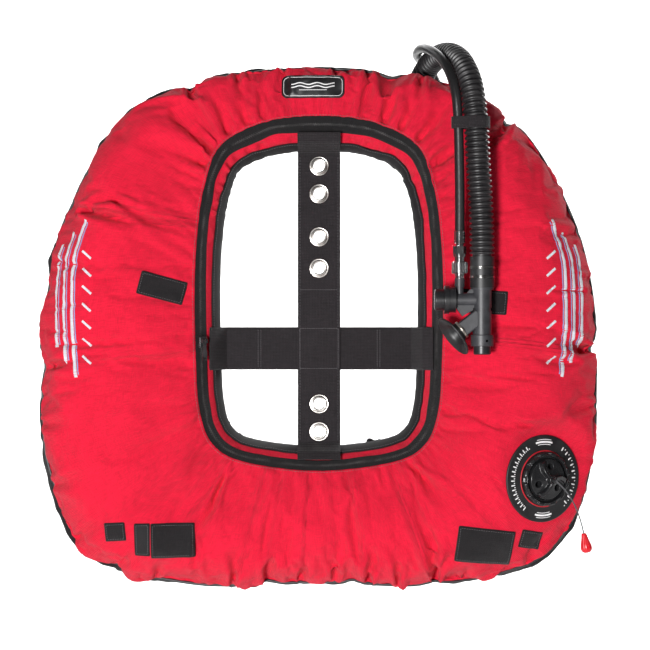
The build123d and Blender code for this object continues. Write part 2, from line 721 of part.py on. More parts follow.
with BuildPart() as hose_ties:
    for height in (38.3, 48.8):
        with BuildSketch(COLUMN_PLANE.offset(height)):
            Circle(14.4)
            Circle(13.25, mode=Mode.SUBTRACT)
        extrude(amount=3)
        with BuildSketch(COLUMN_PLANE.offset(height - 0.2)):
            with Locations((0, 15.4)):
                RectangleRounded(6, 3.4, 0.8)
        extrude(amount=3.4)

with BuildPart() as button_housing:
    with BuildSketch(ARM_PLANE.offset(HOUSING_END_X)):
        Circle(16)
    extrude(amount=5.5)
    with BuildSketch(ARM_PLANE.offset(HOUSING_END_X + 5.5)):
        Circle(14.5)
    extrude(amount=ARM_END_X - HOUSING_END_X - 5.6)
    fillet(button_housing.edges().filter_by(GeomType.CIRCLE).sort_by(Axis.X)[:1], 0.8)
    with BuildSketch(ARM_PLANE.offset(HOUSING_END_X - 1)):
        Circle(12.6)
    extrude(amount=10, mode=Mode.SUBTRACT)
    with BuildSketch(ARM_PLANE.offset(HOUSING_END_X)):
        Circle(3)
    extrude(amount=20, mode=Mode.SUBTRACT)

BUTTON_FACE_X = 130.6
with BuildPart() as inflate_button:
    with BuildSketch(ARM_PLANE.offset(BUTTON_FACE_X)):
        Circle(12)
    extrude(amount=15)
    fillet(inflate_button.edges().filter_by(GeomType.CIRCLE).sort_by(Axis.X)[:1], 1.6)
    with BuildSketch(ARM_PLANE.offset(BUTTON_FACE_X + 2.6)):
        Circle(9.6)
    extrude(amount=20, mode=Mode.SUBTRACT)
    with BuildSketch(ARM_PLANE.offset(BUTTON_FACE_X + 2.5)):
        Circle(2.4)
    extrude(amount=14)
    with BuildSketch(ARM_PLANE.offset(BUTTON_FACE_X - 0.5)):
        with Locations(*[(0, y) for y in (-6, -3, 0, 3, 6)]):
            SlotOverall(14, 1)
    extrude(amount=1, mode=Mode.SUBTRACT)

with BuildPart() as inflate_spring:
    with BuildLine() as inflate_coil:
        Helix(pitch=2.8, height=15.4, radius=6, direction=(1, 0, 0),
              center=(BUTTON_FACE_X + 3.5, COLUMN_Y, ARM_Z))
    with BuildSketch(Plane(origin=inflate_coil.line @ 0, z_dir=inflate_coil.line % 0)):
        Circle(0.55)
    sweep(is_frenet=True)

with BuildPart() as oral_tube:
    with BuildSketch(ORAL_PLANE.offset(4)):
        RectangleRounded(18, 17, 2)
    extrude(amount=24)
    with BuildSketch(ORAL_PLANE.offset(28)):
        Circle(8.8)
    extrude(amount=8)
    with BuildSketch(COLUMN_PLANE.offset(COLUMN_BOTTOM)):
        Circle(COLUMN_R + 0.02)
    extrude(amount=60, mode=Mode.SUBTRACT)
    with BuildSketch(ORAL_PLANE.offset(2)):
        Circle(5.5)
    extrude(amount=40, mode=Mode.SUBTRACT)

with BuildPart() as mouthpiece:
    with BuildSketch(ORAL_PLANE.offset(36.5)):
        Ellipse(12, 15)
    with BuildSketch(ORAL_PLANE.offset(39)):
        Ellipse(16.5, 25)
    loft()
    with BuildSketch(ORAL_PLANE.offset(39)):
        Ellipse(16.5, 25)
    extrude(amount=3)
    with BuildSketch(ORAL_PLANE.offset(30)):
        Circle(11)
    extrude(amount=7)
    with BuildSketch(ORAL_PLANE.offset(37.5)):
        Ellipse(8, 12)
    extrude(amount=12, mode=Mode.SUBTRACT)
    with BuildSketch(ORAL_PLANE.offset(29)):
        Circle(8.85)
    extrude(amount=8.8, mode=Mode.SUBTRACT)

COLLAR_R = 11.4
with BuildPart() as deflate_collar:
    with BuildSketch(COLUMN_PLANE.offset(-38.5)):
        Circle(COLLAR_R + 1.4)
    extrude(amount=12.9)
    fillet(deflate_collar.edges().filter_by(GeomType.CIRCLE), 0.8)
    with BuildSketch(COLUMN_PLANE.offset(-39)):
        Circle(10.2)
    extrude(amount=11, mode=Mode.SUBTRACT)
    with BuildSketch(COLUMN_PLANE.offset(-30)):
        Circle(3.5)
    extrude(amount=6, mode=Mode.SUBTRACT)
    with BuildSketch(Plane.XZ.offset(-COLUMN_Y)):
        with Locations((COLUMN_X + 4.5, -32.5)):
            Circle(1.5)
    extrude(amount=20, mode=Mode.SUBTRACT)

with BuildPart() as deflate_button:
    with BuildSketch(COLUMN_PLANE.offset(-48)):
        Circle(9.8)
    extrude(amount=13.5)
    fillet(deflate_button.edges().filter_by(GeomType.CIRCLE).sort_by(Axis.Z)[:1], 1.6)
    with BuildSketch(COLUMN_PLANE.offset(-45)):
        Circle(7.6)
    extrude(amount=20, mode=Mode.SUBTRACT)

with BuildPart() as deflate_spring:
    with BuildLine() as deflate_coil:
        Helix(pitch=2.8, height=14, radius=5.5, center=(COLUMN_X, COLUMN_Y, -44.2))
    with BuildSketch(Plane(origin=deflate_coil.line @ 0, z_dir=deflate_coil.line % 0)):
        Circle(0.55)
    sweep(is_frenet=True)

with BuildPart() as lp_nipple:
    with BuildSketch(Plane.XZ.offset(-COLUMN_Y)):
        with BuildLine():
            Polyline((NIPPLE_X, 24.2), (NIPPLE_X + 3.0, 24.2), (NIPPLE_X + 3.0, 38.1),
                     (NIPPLE_X + 5.2, 38.1), (NIPPLE_X + 5.2, 39.4), (NIPPLE_X + 4, 40.4),
                     (NIPPLE_X + 4, 48), (NIPPLE_X + 3.3, 49), (NIPPLE_X + 3.3, 51),
                     (NIPPLE_X + 4, 52), (NIPPLE_X + 4, 58), (NIPPLE_X, 58), close=True)
        make_face()
    revolve(axis=Axis((NIPPLE_X, COLUMN_Y, 0), (0, 0, 1)))

with BuildPart() as coupler_body:
    with BuildSketch(NIPPLE_PLANE.offset(40.6)):
        Circle(5.7)
        Circle(4.2, mode=Mode.SUBTRACT)
    extrude(amount=18)
    with BuildSketch(NIPPLE_PLANE.offset(58.6)):
        Circle(5.7)
    extrude(amount=3.6)
    with BuildSketch(NIPPLE_PLANE.offset(62.2)):
        Circle(7.2)
    extrude(amount=3.4)
    with BuildSketch(NIPPLE_PLANE.offset(65.6)):
        RegularPolygon(7.6, 6)
    extrude(amount=9.4)
    chamfer(coupler_body.faces().sort_by(Axis.Z)[-1].edges(), 0.6)
    with BuildSketch(NIPPLE_PLANE.offset(75)):
        Circle(4.6)
    extrude(amount=2.4)

KNURL_COUNT = 20
with BuildPart() as coupler_sleeve:
    with BuildSketch(NIPPLE_PLANE.offset(43.5)):
        Circle(9.1)
        Circle(6, mode=Mode.SUBTRACT)
    extrude(amount=13.5)
    chamfer(coupler_sleeve.edges().filter_by(GeomType.CIRCLE).sort_by(SortBy.RADIUS)[-2:], 0.8)
    with BuildSketch(NIPPLE_PLANE.offset(45.5)):
        with PolarLocations(9.4, KNURL_COUNT):
            Circle(0.7)
    extrude(amount=9.5, mode=Mode.SUBTRACT)

with BuildPart() as lp_ferrule:
    with BuildSketch(NIPPLE_PLANE.offset(77.5)):
        Circle(6.4)
    extrude(amount=14.4)
    chamfer(lp_ferrule.edges().filter_by(GeomType.CIRCLE), 0.7)
    for height in (80.5, 84.5, 88):
        with BuildSketch(NIPPLE_PLANE.offset(height)):
            Circle(7)
            Circle(6.0, mode=Mode.SUBTRACT)
        extrude(amount=0.9, mode=Mode.SUBTRACT)

# Both hoses run through this band.
CLIP_Z, CLIP_HALF = 214.0, 6.5
CLIP_CLEARANCE, CLIP_THICKNESS = 1.2, 1.3
CLIP_HOLES = {(177.35, -88.95): HOSE_R, (157.5, -89.2): LP_HOSE_R}
with BuildPart() as hose_clip:
    with BuildSketch(Plane.XY.offset(CLIP_Z - CLIP_HALF)):
        for centre, hose_radius in CLIP_HOLES.items():
            with Locations(centre):
                Circle(hose_radius + CLIP_CLEARANCE + CLIP_THICKNESS)
        make_hull()
        for centre, hose_radius in CLIP_HOLES.items():
            with Locations(centre):
                Circle(hose_radius + CLIP_CLEARANCE, mode=Mode.SUBTRACT)
    extrude(amount=2 * CLIP_HALF)

# Threaded male end of the low pressure hose, pointing down behind the wing.
END_PLANE = Plane(origin=LP_HOSE_ROUTE[-1], z_dir=(0.034, 0.02, -1))
THREAD_R = 4.7625         # 3/8 inch
THREAD_LENGTH = 9.0
with BuildPart() as lp_end_fitting:
    with BuildSketch(END_PLANE.offset(0.1)):
        Circle(6.4)
    extrude(amount=16)
    with BuildSketch(END_PLANE.offset(16.1)):
        RegularPolygon(8.3, 6)
    extrude(amount=8)
    with BuildSketch(END_PLANE.offset(24.1)):
        Circle(3.9)
    extrude(amount=2)
    with BuildSketch(END_PLANE.offset(26.1)):
        Circle(THREAD_R)
    extrude(amount=THREAD_LENGTH)
    with BuildSketch(END_PLANE.offset(30)):
        Circle(2.2)
    extrude(amount=12, mode=Mode.SUBTRACT)

# ---------------------------------------------------------------- export
SINGLE_PARTS = {
    "inner_bladder": inner_bladder,
    "front_cover": front_cover,
    "back_cover": back_cover,
    "seam_piping": seam_piping,
    "zip_tape": zip_tape,
    "zip_teeth": zip_teeth,
    "gusset_strip": gusset_strip,
    "edge_binding": edge_binding,
    "valve_patch": valve_patch,
    "vertical_webbing": vertical_webbing,
    "horizontal_webbing": horizontal_webbing,
    "grommet_eyelets": grommet_eyelets,
    "grommet_washers": grommet_washers,
    "zip_slider": zip_slider,
    "zip_pull": zip_pull,
    "valve_base": valve_base,
    "valve_cap": valve_cap,
    "valve_disc": valve_disc,
    "valve_spring": valve_spring,
    "corrugated_hose": corrugated_hose,
    "lp_hose": lp_hose,
    "pull_cord": pull_cord,
    "pull_knob": pull_knob,
    "elbow_flange": elbow_flange,
    "elbow_nut": elbow_nut,
    "elbow": elbow,
    "upper_cuff": upper_cuff,
    "inflator_body": inflator_body,
    "lower_cuff": lower_cuff,
    "hose_ties": hose_ties,
    "button_housing": button_housing,
    "inflate_button": inflate_button,
    "inflate_spring": inflate_spring,
    "oral_tube": oral_tube,
    "mouthpiece": mouthpiece,
    "deflate_collar": deflate_collar,
    "deflate_button": deflate_button,
    "deflate_spring": deflate_spring,
    "lp_nipple": lp_nipple,
    "coupler_body": coupler_body,
    "coupler_sleeve": coupler_sleeve,
    "lp_ferrule": lp_ferrule,
    "hose_clip": hose_clip,
    "lp_end_fitting": lp_end_fitting,
}
for name, sub_part in (SINGLE_PARTS | patches).items():
    sub_part.part.label = name
    export_step(sub_part.part, f"parts/{name}.step")
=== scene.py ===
import json
import math
import bmesh
import bpy
import numpy as np
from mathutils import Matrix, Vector
from mathutils.bvhtree import BVHTree
from mathutils.noise import noise


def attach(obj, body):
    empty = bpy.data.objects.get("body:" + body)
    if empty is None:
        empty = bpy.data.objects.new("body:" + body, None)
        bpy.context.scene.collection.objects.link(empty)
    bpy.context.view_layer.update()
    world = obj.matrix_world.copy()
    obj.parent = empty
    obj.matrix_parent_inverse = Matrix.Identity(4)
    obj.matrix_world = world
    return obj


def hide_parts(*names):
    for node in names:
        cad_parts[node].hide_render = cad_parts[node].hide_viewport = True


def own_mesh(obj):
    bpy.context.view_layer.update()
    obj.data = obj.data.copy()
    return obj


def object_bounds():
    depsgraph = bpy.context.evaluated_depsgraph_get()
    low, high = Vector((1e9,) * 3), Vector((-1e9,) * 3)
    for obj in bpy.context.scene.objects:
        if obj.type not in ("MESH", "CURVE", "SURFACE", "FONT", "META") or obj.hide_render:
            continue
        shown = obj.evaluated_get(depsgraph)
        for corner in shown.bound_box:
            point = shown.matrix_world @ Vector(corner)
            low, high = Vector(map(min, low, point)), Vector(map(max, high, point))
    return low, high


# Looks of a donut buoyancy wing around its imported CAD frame. Lengths are written in
# millimetres and turned into metres by MM. The front of the wing looks along -Y.
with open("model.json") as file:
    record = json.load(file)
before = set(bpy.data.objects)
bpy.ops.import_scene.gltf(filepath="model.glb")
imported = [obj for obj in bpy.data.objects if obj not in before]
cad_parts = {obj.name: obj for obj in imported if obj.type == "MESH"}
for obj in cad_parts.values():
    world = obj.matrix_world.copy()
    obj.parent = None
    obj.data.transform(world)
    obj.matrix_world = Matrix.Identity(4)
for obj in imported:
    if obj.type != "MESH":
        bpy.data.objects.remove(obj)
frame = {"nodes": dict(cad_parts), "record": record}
cad_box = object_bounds()
nodes = frame["nodes"]
MM = 0.001
scene = bpy.context.scene

# ------------------------------------------------------------------ camera
CAMERA_PLACE = (0.007, -2.2, -0.0145)
SENSOR_WIDTH, LENS = 36, 103.6


def make_camera():
    data = bpy.data.cameras.new("camera")
    data.sensor_width = SENSOR_WIDTH
    data.lens = LENS
    camera = bpy.data.objects.new("camera", data)
    camera.location = CAMERA_PLACE
    camera.rotation_euler = (math.radians(90), 0, 0)
    scene.collection.objects.link(camera)
    scene.camera = camera


make_camera()


# ------------------------------------------------------------------ mesh helpers
def smooth_shaded(mesh):
    mesh.polygons.foreach_set("use_smooth", [True] * len(mesh.polygons))
    return mesh


def linked(name, data):
    obj = bpy.data.objects.new(name, data)
    scene.collection.objects.link(obj)
    return obj


def add_mesh(name, vertices, faces):
    """A mesh object from points in millimetres."""
    mesh = bpy.data.meshes.new(name)
    mesh.from_pydata([tuple(c * MM for c in v) for v in vertices], [], faces)
    mesh.update()
    return linked(name, smooth_shaded(mesh))


def dress(obj, look):
    obj.data.materials.clear()
    obj.data.materials.append(MATERIALS[look])


def finish_piece(obj, body, slot, *replaced, look=None):
    """Gives the piece the material of its slot, or of the look if given, puts it under its body and hides
    the replaced nodes.
    """
    dress(obj, look or slot)
    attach(obj, body)
    if replaced:
        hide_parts(*replaced)
    return obj


def grid_faces(rows, columns, wrap_rows=False, wrap_columns=False):
    faces = []
    for i in range(rows if wrap_rows else rows - 1):
        for j in range(columns if wrap_columns else columns - 1):
            i2, j2 = (i + 1) % rows, (j + 1) % columns
            faces.append((i * columns + j, i * columns + j2, i2 * columns + j2, i2 * columns + j))
    return faces


def grid_object(name, grid, uv):
    """A surface from a grid of points in mm, closed along its first index, with UVs in mm."""
    rows, columns = grid.shape[:2]
    faces = grid_faces(rows, columns, wrap_rows=True)
    obj = add_mesh(name, grid.reshape(-1, 3), faces)
    flat = uv.reshape(-1, 2)
    length = flat[:, 0].max() + (flat[columns, 0] - flat[0, 0])
    coords = []
    for face in faces:
        us = [flat[v][0] for v in face]
        seam_face = max(us) - min(us) > length / 2
        for v in face:
            u = flat[v][0] + (length if seam_face and flat[v][0] < length / 2 else 0)
            coords += [u * MM, flat[v][1] * MM]
    obj.data.uv_layers.new(name="cloth").data.foreach_set("uv", coords)
    return obj


def apply_modifiers(obj):
    """Replaces the mesh by the evaluated one."""
    bpy.context.view_layer.update()
    graph = bpy.context.evaluated_depsgraph_get()
    mesh = bpy.data.meshes.new_from_object(obj.evaluated_get(graph))
    obj.modifiers.clear()
    old = obj.data
    obj.data = smooth_shaded(mesh)
    bpy.data.meshes.remove(old)


def thicken(obj, millimetres, offset=-1.0):
    solid = obj.modifiers.new("thickness", "SOLIDIFY")
    solid.thickness = millimetres * MM
    solid.offset = offset
    apply_modifiers(obj)


def subdivide(obj):
    modifier = obj.modifiers.new("smooth", "SUBSURF")
    modifier.levels = modifier.render_levels = 1
    apply_modifiers(obj)


def edit_mesh(obj, change):
    """Lets a function change the object's mesh as a bmesh."""
    bm = bmesh.new()
    bm.from_mesh(obj.data)
    change(bm)
    bm.to_mesh(obj.data)
    bm.free()


def fix_normals(obj):
    def change(bm):
        bmesh.ops.remove_doubles(bm, verts=bm.verts, dist=1e-6)
        bmesh.ops.recalc_face_normals(bm, faces=bm.faces)

    edit_mesh(obj, change)


def square_to(axis):
    """Two directions square to an axis and to each other."""
    side = axis.orthogonal().normalized()
    return side, axis.cross(side)


def turned(side, other, angle):
    return side * math.cos(angle) + other * math.sin(angle)


def turn_angles(steps):
    return [2 * math.pi * k / steps for k in range(steps)]


def lathe(name, profile, centre, axis, steps=64, closed=True):
    """Turns (radius, height) points round an axis through centre."""
    side, other = square_to(axis)
    grid = [centre + turned(side, other, a) * r + axis * h for a in turn_angles(steps) for r, h in profile]
    obj = add_mesh(name, grid, grid_faces(steps, len(profile), wrap_rows=True, wrap_columns=closed))
    fix_normals(obj)
    return obj


def lengths_along(points):
    """The length reached at each point of a line."""
    return np.r_[0, np.cumsum(np.linalg.norm(np.diff(points, axis=0), axis=1))]


def lengths_across(grid):
    """The distance of every point of a grid from its first column."""
    return np.cumsum(np.linalg.norm(np.diff(grid, axis=1, prepend=grid[:, :1]), axis=2), axis=1)


def value_at(at, reach, values):
    """The values of a line at one length along it."""
    return Vector([np.interp(at, reach, values[:, k]) for k in range(3)])


def closed_loop(grid, column):
    return np.vstack([grid[:, column], grid[:1, column]])


# ------------------------------------------------------------------ materials
class Nodes:
    """A material under construction."""

    def __init__(self, name, colour, roughness, metallic=0.0, **sockets):
        self.material = bpy.data.materials.new(name)
        self.material.use_nodes = True
        self.tree = self.material.node_tree
        self.shader = self.tree.nodes["Principled BSDF"]
        self.shader.inputs["Base Color"].default_value = (*colour, 1)
        self.shader.inputs["Roughness"].default_value = roughness
        self.shader.inputs["Metallic"].default_value = metallic
        for socket, value in sockets.items():
            self.shader.inputs[socket.replace("_", " ")].default_value = value
        self.height = None

    def add(self, kind, inputs=None, **settings):
        node = self.tree.nodes.new(kind)
        for key, value in settings.items():
            setattr(node, key, value)
        for key, value in (inputs or {}).items():
            if hasattr(value, "is_output"):
                self.tree.links.new(value, node.inputs[key])
            else:
                node.inputs[key].default_value = value
        return node

    def place(self, uv, stretch=(1, 1, 1)):
        if uv:
            source = self.add("ShaderNodeUVMap", uv_map="cloth").outputs["UV"]
        else:
            source = self.add("ShaderNodeTexCoord").outputs["Object"]
        return self.add("ShaderNodeMapping", {"Vector": source, "Scale": stretch}).outputs["Vector"]

    def maths(self, operation, a, b=0.0):
        return self.add("ShaderNodeMath", {0: a, 1: b}, operation=operation).outputs[0]

    def noise(self, vector, scale, detail=3.0, roughness=0.5):
        inputs = {"Vector": vector, "Scale": scale, "Detail": detail, "Roughness": roughness}
        return self.add("ShaderNodeTexNoise", inputs).outputs["Fac"]

    def wave(self, vector, direction, pitch, distortion=0.0):
        inputs = {"Vector": vector, "Scale": math.pi / (10 * pitch), "Distortion": distortion}
        return self.add("ShaderNodeTexWave", inputs, bands_direction=direction).outputs["Fac"]

    def mapped(self, value, low, high, to_low, to_high):
        inputs = {"Value": value, "From Min": low, "From Max": high,
                  "To Min": to_low, "To Max": to_high}
        return self.add("ShaderNodeMapRange", inputs).outputs["Result"]

    def tint(self, factor, dark, light):
        """Base colour between two colours."""
        mix = self.add("ShaderNodeMix", data_type="RGBA")
        self.tree.links.new(factor, mix.inputs["Factor"])
        mix.inputs["A"].default_value = (*dark, 1)
        mix.inputs["B"].default_value = (*light, 1)
        self.tree.links.new(mix.outputs["Result"], self.shader.inputs["Base Color"])

    def rough(self, factor, low, high):
        self.tree.links.new(self.mapped(factor, 0, 1, low, high), self.shader.inputs["Roughness"])

    def bump(self, height, millimetres, strength=1.0):
        inputs = {"Height": height, "Distance": millimetres * MM, "Strength": strength}
        node = self.add("ShaderNodeBump", inputs)
        if self.height:
            self.tree.links.new(self.height, node.inputs["Normal"])
        self.height = node.outputs["Normal"]
        self.tree.links.new(self.height, self.shader.inputs["Normal"])


def cloth_material(name, dark, light, pitch, uv=True, bump=0.35, axes=("X", "Y"), sheen=0.06):
    """Plain weave of two crossing sets of round threads, with uneven yarn. Pitch in mm."""
    n = Nodes(name, light, CLOTH_ROUGHNESS, Sheen_Weight=sheen, Specular_IOR_Level=0.22)
    place = n.place(uv)
    weave = n.maths("MULTIPLY", *(n.wave(place, axis, pitch * MM, 0.3) for axis in axes))
    first, second = ((1, 14, 14), (14, 1, 1)) if uv else ((14, 14, 1), (1, 1, 14))
    slub_a = n.noise(n.place(uv, first), 90, 2)
    slub_b = n.noise(n.place(uv, second), 90, 2)
    slubs = n.maths("ADD", slub_a, slub_b)
    cloud = n.noise(place, 22, 3)
    value = n.maths("ADD", n.maths("MULTIPLY", weave, 0.35), n.maths("MULTIPLY", slubs, 0.62))
    value = n.maths("ADD", value, n.maths("MULTIPLY", cloud, 0.25))
    n.tint(n.mapped(value, 0.45, 1.15, 0, 1), dark, light)
    n.rough(slub_a, CLOTH_ROUGHNESS - 0.08, CLOTH_ROUGHNESS + 0.08)
    n.bump(weave, bump)
    n.bump(slubs, bump * 0.8)
    return n.material


def ribbed_material(name, dark, light, pitch, axis, uv=True, bump=0.4, rough=0.7):
    """Fine ribs across one axis. Pitch in mm."""
    n = Nodes(name, light, rough, Specular_IOR_Level=0.25 if rough > 0.5 else 0.5)
    place = n.place(uv)
    ribs = n.wave(place, axis, pitch * MM, 0.4)
    fine = n.noise(place, 900, 2)
    n.tint(n.mapped(n.maths("ADD", ribs, fine), 0.3, 1.6, 0, 1), dark, light)
    n.bump(ribs, bump)
    n.bump(fine, 0.15)
    return n.material


def hard_material(name, dark, light, rough, metallic=0.0, bump=0.05, scratch=0.0, **sockets):
    """Moulded plastic, rubber or metal: cloudy colour and gloss, fine grain, scratches."""
    n = Nodes(name, light, rough[0], metallic, **sockets)
    place = n.place(False)
    fine = n.noise(place, 700, 3)
    cloud = n.noise(place, 60, 4, 0.6)
    n.tint(n.mapped(cloud, 0.35, 0.65, 0, 1), dark, light)
    n.rough(cloud, *rough)
    n.bump(fine, bump)
    if scratch:
        n.bump(n.noise(n.place(False, (1, 1, 12)), 260, 4, 0.7), scratch)
    return n.material


CLOTH_ROUGHNESS = 0.8
RED_DARK, RED_LIGHT = (0.44, 0.0016, 0.016), (0.84, 0.008, 0.044)
BLACK, GREY_BLACK, TAPE_BLACK = (0.004, 0.0035, 0.004), (0.017, 0.0145, 0.016), (0.014, 0.0125, 0.0135)
STRAP_DARK, STRAP_LIGHT = (0.006, 0.005, 0.0055), (0.028, 0.023, 0.026)
RIB_DARK = (0.006, 0.006, 0.0065)
# Pieces without UVs take their pattern from the object's own X, Y and Z.
BY_PLACE = {"uv": False, "axes": ("X", "Z")}
THREAD = {**BY_PLACE, "sheen": 0.1}

# name: dark, light, pitch, options
CLOTHS = {
    "red_cordura": (RED_DARK, RED_LIGHT, 1.1, {}),
    "black_nylon": (BLACK, GREY_BLACK, 0.9, {}),
    "black_tape": (BLACK, TAPE_BLACK, 0.8, {}),
    "black_webbing": (STRAP_DARK, STRAP_LIGHT, 1.8, {"bump": 0.5, **BY_PLACE}),
    "strap_webbing": (STRAP_DARK, STRAP_LIGHT, 1.7, {"bump": 0.5}),
    "white_thread": ((0.62, 0.64, 0.72), (0.88, 0.89, 0.93), 0.6, THREAD),
    "blue_thread": ((0.22, 0.28, 0.60), (0.42, 0.48, 0.80), 0.6, THREAD),
    "grey_thread": ((0.10, 0.095, 0.10), (0.19, 0.18, 0.19), 0.5, THREAD),
}
# name: dark, light, pitch, axis, options
RIBBED = {
    "black_binding": (RIB_DARK, (0.030, 0.027, 0.029), 1.3, "X", {}),
    "elastic": (RIB_DARK, (0.030, 0.027, 0.029), 1.3, "X", {}),
    "lp_rubber": (RIB_DARK, (0.022, 0.021, 0.022), 1.3, "Z", {"uv": False, "bump": 0.12, "rough": 0.34}),
    "cord_grey": ((0.03, 0.03, 0.032), (0.16, 0.16, 0.17), 0.8, "Z", {"uv": False, "bump": 0.3}),
}
# name: dark, light, lowest and highest roughness, options
HARD = {
    "zip_plastic": ((0.02, 0.02, 0.02), (0.09, 0.085, 0.085), (0.15, 0.3), {}),
    "zip_metal": ((0.015, 0.015, 0.016), (0.04, 0.04, 0.042), (0.2, 0.35), {}),
    "patch_rubber": ((0.006, 0.006, 0.007), (0.014, 0.014, 0.015), (0.38, 0.55), {}),
    "cuff_rubber": ((0.009, 0.009, 0.010), (0.018, 0.018, 0.019), (0.38, 0.52), {}),
    "hose_rubber": ((0.010, 0.009, 0.010), (0.024, 0.022, 0.023), (0.36, 0.48), {"bump": 0.06}),
    "black_plastic": ((0.009, 0.009, 0.010), (0.019, 0.019, 0.021), (0.28, 0.42), {"bump": 0.08}),
    "grey_plastic": ((0.022, 0.022, 0.025), (0.042, 0.042, 0.047), (0.36, 0.5), {"bump": 0.08}),
    "cap_plastic": ((0.008, 0.008, 0.009), (0.016, 0.016, 0.017), (0.16, 0.28), {"bump": 0.04}),
    "red_plastic": ((0.50, 0.004, 0.010), (0.66, 0.010, 0.02), (0.2, 0.32),
                    {"Coat_Weight": 0.3, "Coat_Roughness": 0.15}),
    "tie_nylon": ((0.10, 0.10, 0.10), (0.34, 0.33, 0.32), (0.12, 0.24), {"metallic": 0.9}),
    "satin_band": ((0.30, 0.27, 0.24), (0.46, 0.42, 0.37), (0.24, 0.36), {"metallic": 0.8}),
    "chrome_brass": ((0.66, 0.66, 0.68), (0.92, 0.92, 0.93), (0.05, 0.16),
                     {"metallic": 1.0, "bump": 0.01, "scratch": 0.03}),
    "eyelet_steel": ((0.34, 0.32, 0.30), (0.56, 0.53, 0.50), (0.16, 0.30),
                     {"metallic": 1.0, "bump": 0.02, "scratch": 0.03}),
    "spring_steel": ((0.4, 0.4, 0.42), (0.6, 0.6, 0.62), (0.25, 0.35), {"metallic": 1.0}),
    "red_print": ((0.40, 0.004, 0.012), (0.55, 0.008, 0.02), (0.4, 0.5), {}),
    "white_print": ((0.70, 0.70, 0.70), (0.85, 0.85, 0.85), (0.45, 0.6), {}),
    "bladder_film": ((0.10, 0.10, 0.11), (0.16, 0.16, 0.17), (0.4, 0.5), {}),
}
MATERIALS = {}
for make, table in ((cloth_material, CLOTHS), (ribbed_material, RIBBED), (hard_material, HARD)):
    for name, (*values, options) in table.items():
        MATERIALS[name] = make(name, *values, **options)
# Every carried-over node gets the detailed material of its slot.
for row in frame["record"]["subparts"]:
    dress(nodes[row["node"]], row["material_slot"])

# ------------------------------------------------------------------ cords
HOSE_R, LP_HOSE_R, PULL_CORD_R = 13.5, 5.5, 0.8
HOSE_ROUTE = [
    (115, 76.5, 206), (115, 76.5, 231), (117, 62, 273), (136, 20, 304), (158.5, -33, 301),
    (172.5, -77, 265), (177.5, -90, 216), (179.5, -90.5, 174), (182, -89, 134),
    (184.5, -87, 97), (184.5, -87, 63),
]
LP_HOSE_ROUTE = [
    (159.2, -87, 92), (159.4, -87.5, 130), (158.6, -89, 172), (157.6, -90, 214),
    (154.7, -84.3, 256), (142.4, -54, 291.8), (122.4, -8, 312.8), (114, 42, 308.8),
    (131, 82, 304), (147, 107, 281), (156, 114, 241), (164, 108, 198), (174, 96, 157),
    (184, 83, 115), (190, 74, 71), (193, 71, 26), (194.5, 72, -18),
]
VALVE_TILT, VALVE_DROP = math.radians(28), math.radians(3)
VALVE_CENTRE = Vector((258, -50, -191))
VALVE_AXIS = Vector((math.sin(VALVE_TILT) * math.cos(VALVE_DROP), -math.cos(VALVE_TILT),
                     -math.sin(VALVE_TILT) * math.sin(VALVE_DROP))).normalized()
VALVE_SIDE = Vector((math.cos(VALVE_TILT), math.sin(VALVE_TILT), 0))
VALVE_UP = VALVE_SIDE.cross(VALVE_AXIS).normalized()
CORD_START_HEIGHT = 24.6
PULL_CORD_ROUTE = [
    tuple(VALVE_CENTRE + VALVE_AXIS * CORD_START_HEIGHT), (277.5, -77.5, -199), (287, -79, -212),
    (294, -77.5, -227), (298.5, -75.5, -240.5), (301, -74, -251),
]


def route_curve(name, route):
    """A NURBS spline with the route's points as its control points."""
    data = bpy.data.curves.new(name, "CURVE")
    data.dimensions = "3D"
    data.resolution_u = 24
    spline = data.splines.new("NURBS")
    spline.points.add(len(route) - 1)
    for point, place in zip(spline.points, route):
        point.co = (*(c * MM for c in place), 1)
    spline.order_u = 3
    spline.use_endpoint_u = True
    return linked(name, data)


def spaced(points, step):
    """Points at even steps along a line, with the length reached at each."""
    reach = lengths_along(points)
    at = np.linspace(0, reach[-1], max(2, round(reach[-1] / step)) + 1)
    return np.stack([np.interp(at, reach, points[:, k]) for k in range(3)], 1), at


def tube(name, points, radii, around=32):
    """A mesh tube with a radius at each point and closed ends."""
    directions = np.gradient(points, axis=0)
    side = Vector(directions[0]).orthogonal().normalized()
    vertices = []
    for place, direction, radius in zip(points, directions, radii):
        along = Vector(direction).normalized()
        side = (side - along * side.dot(along)).normalized()
        other = along.cross(side)
        vertices += [Vector(place) + turned(side, other, a) * radius for a in turn_angles(around)]
    faces = grid_faces(len(points), around, wrap_columns=True)
    last = (len(points) - 1) * around
    faces.append(tuple(range(around)))
    faces.append(tuple(last + k for k in range(around))[::-1])
    obj = add_mesh(name, vertices, faces)
    fix_normals(obj)
    return obj


def exit_point(route):
    return tuple(c * MM for c in route[0])


RIB_PITCH, RIB_DEPTH, RIB_R = 6.2, 3.0, 14.1
PLAIN_END = 3             # mm of the hose without ribs at each cuff


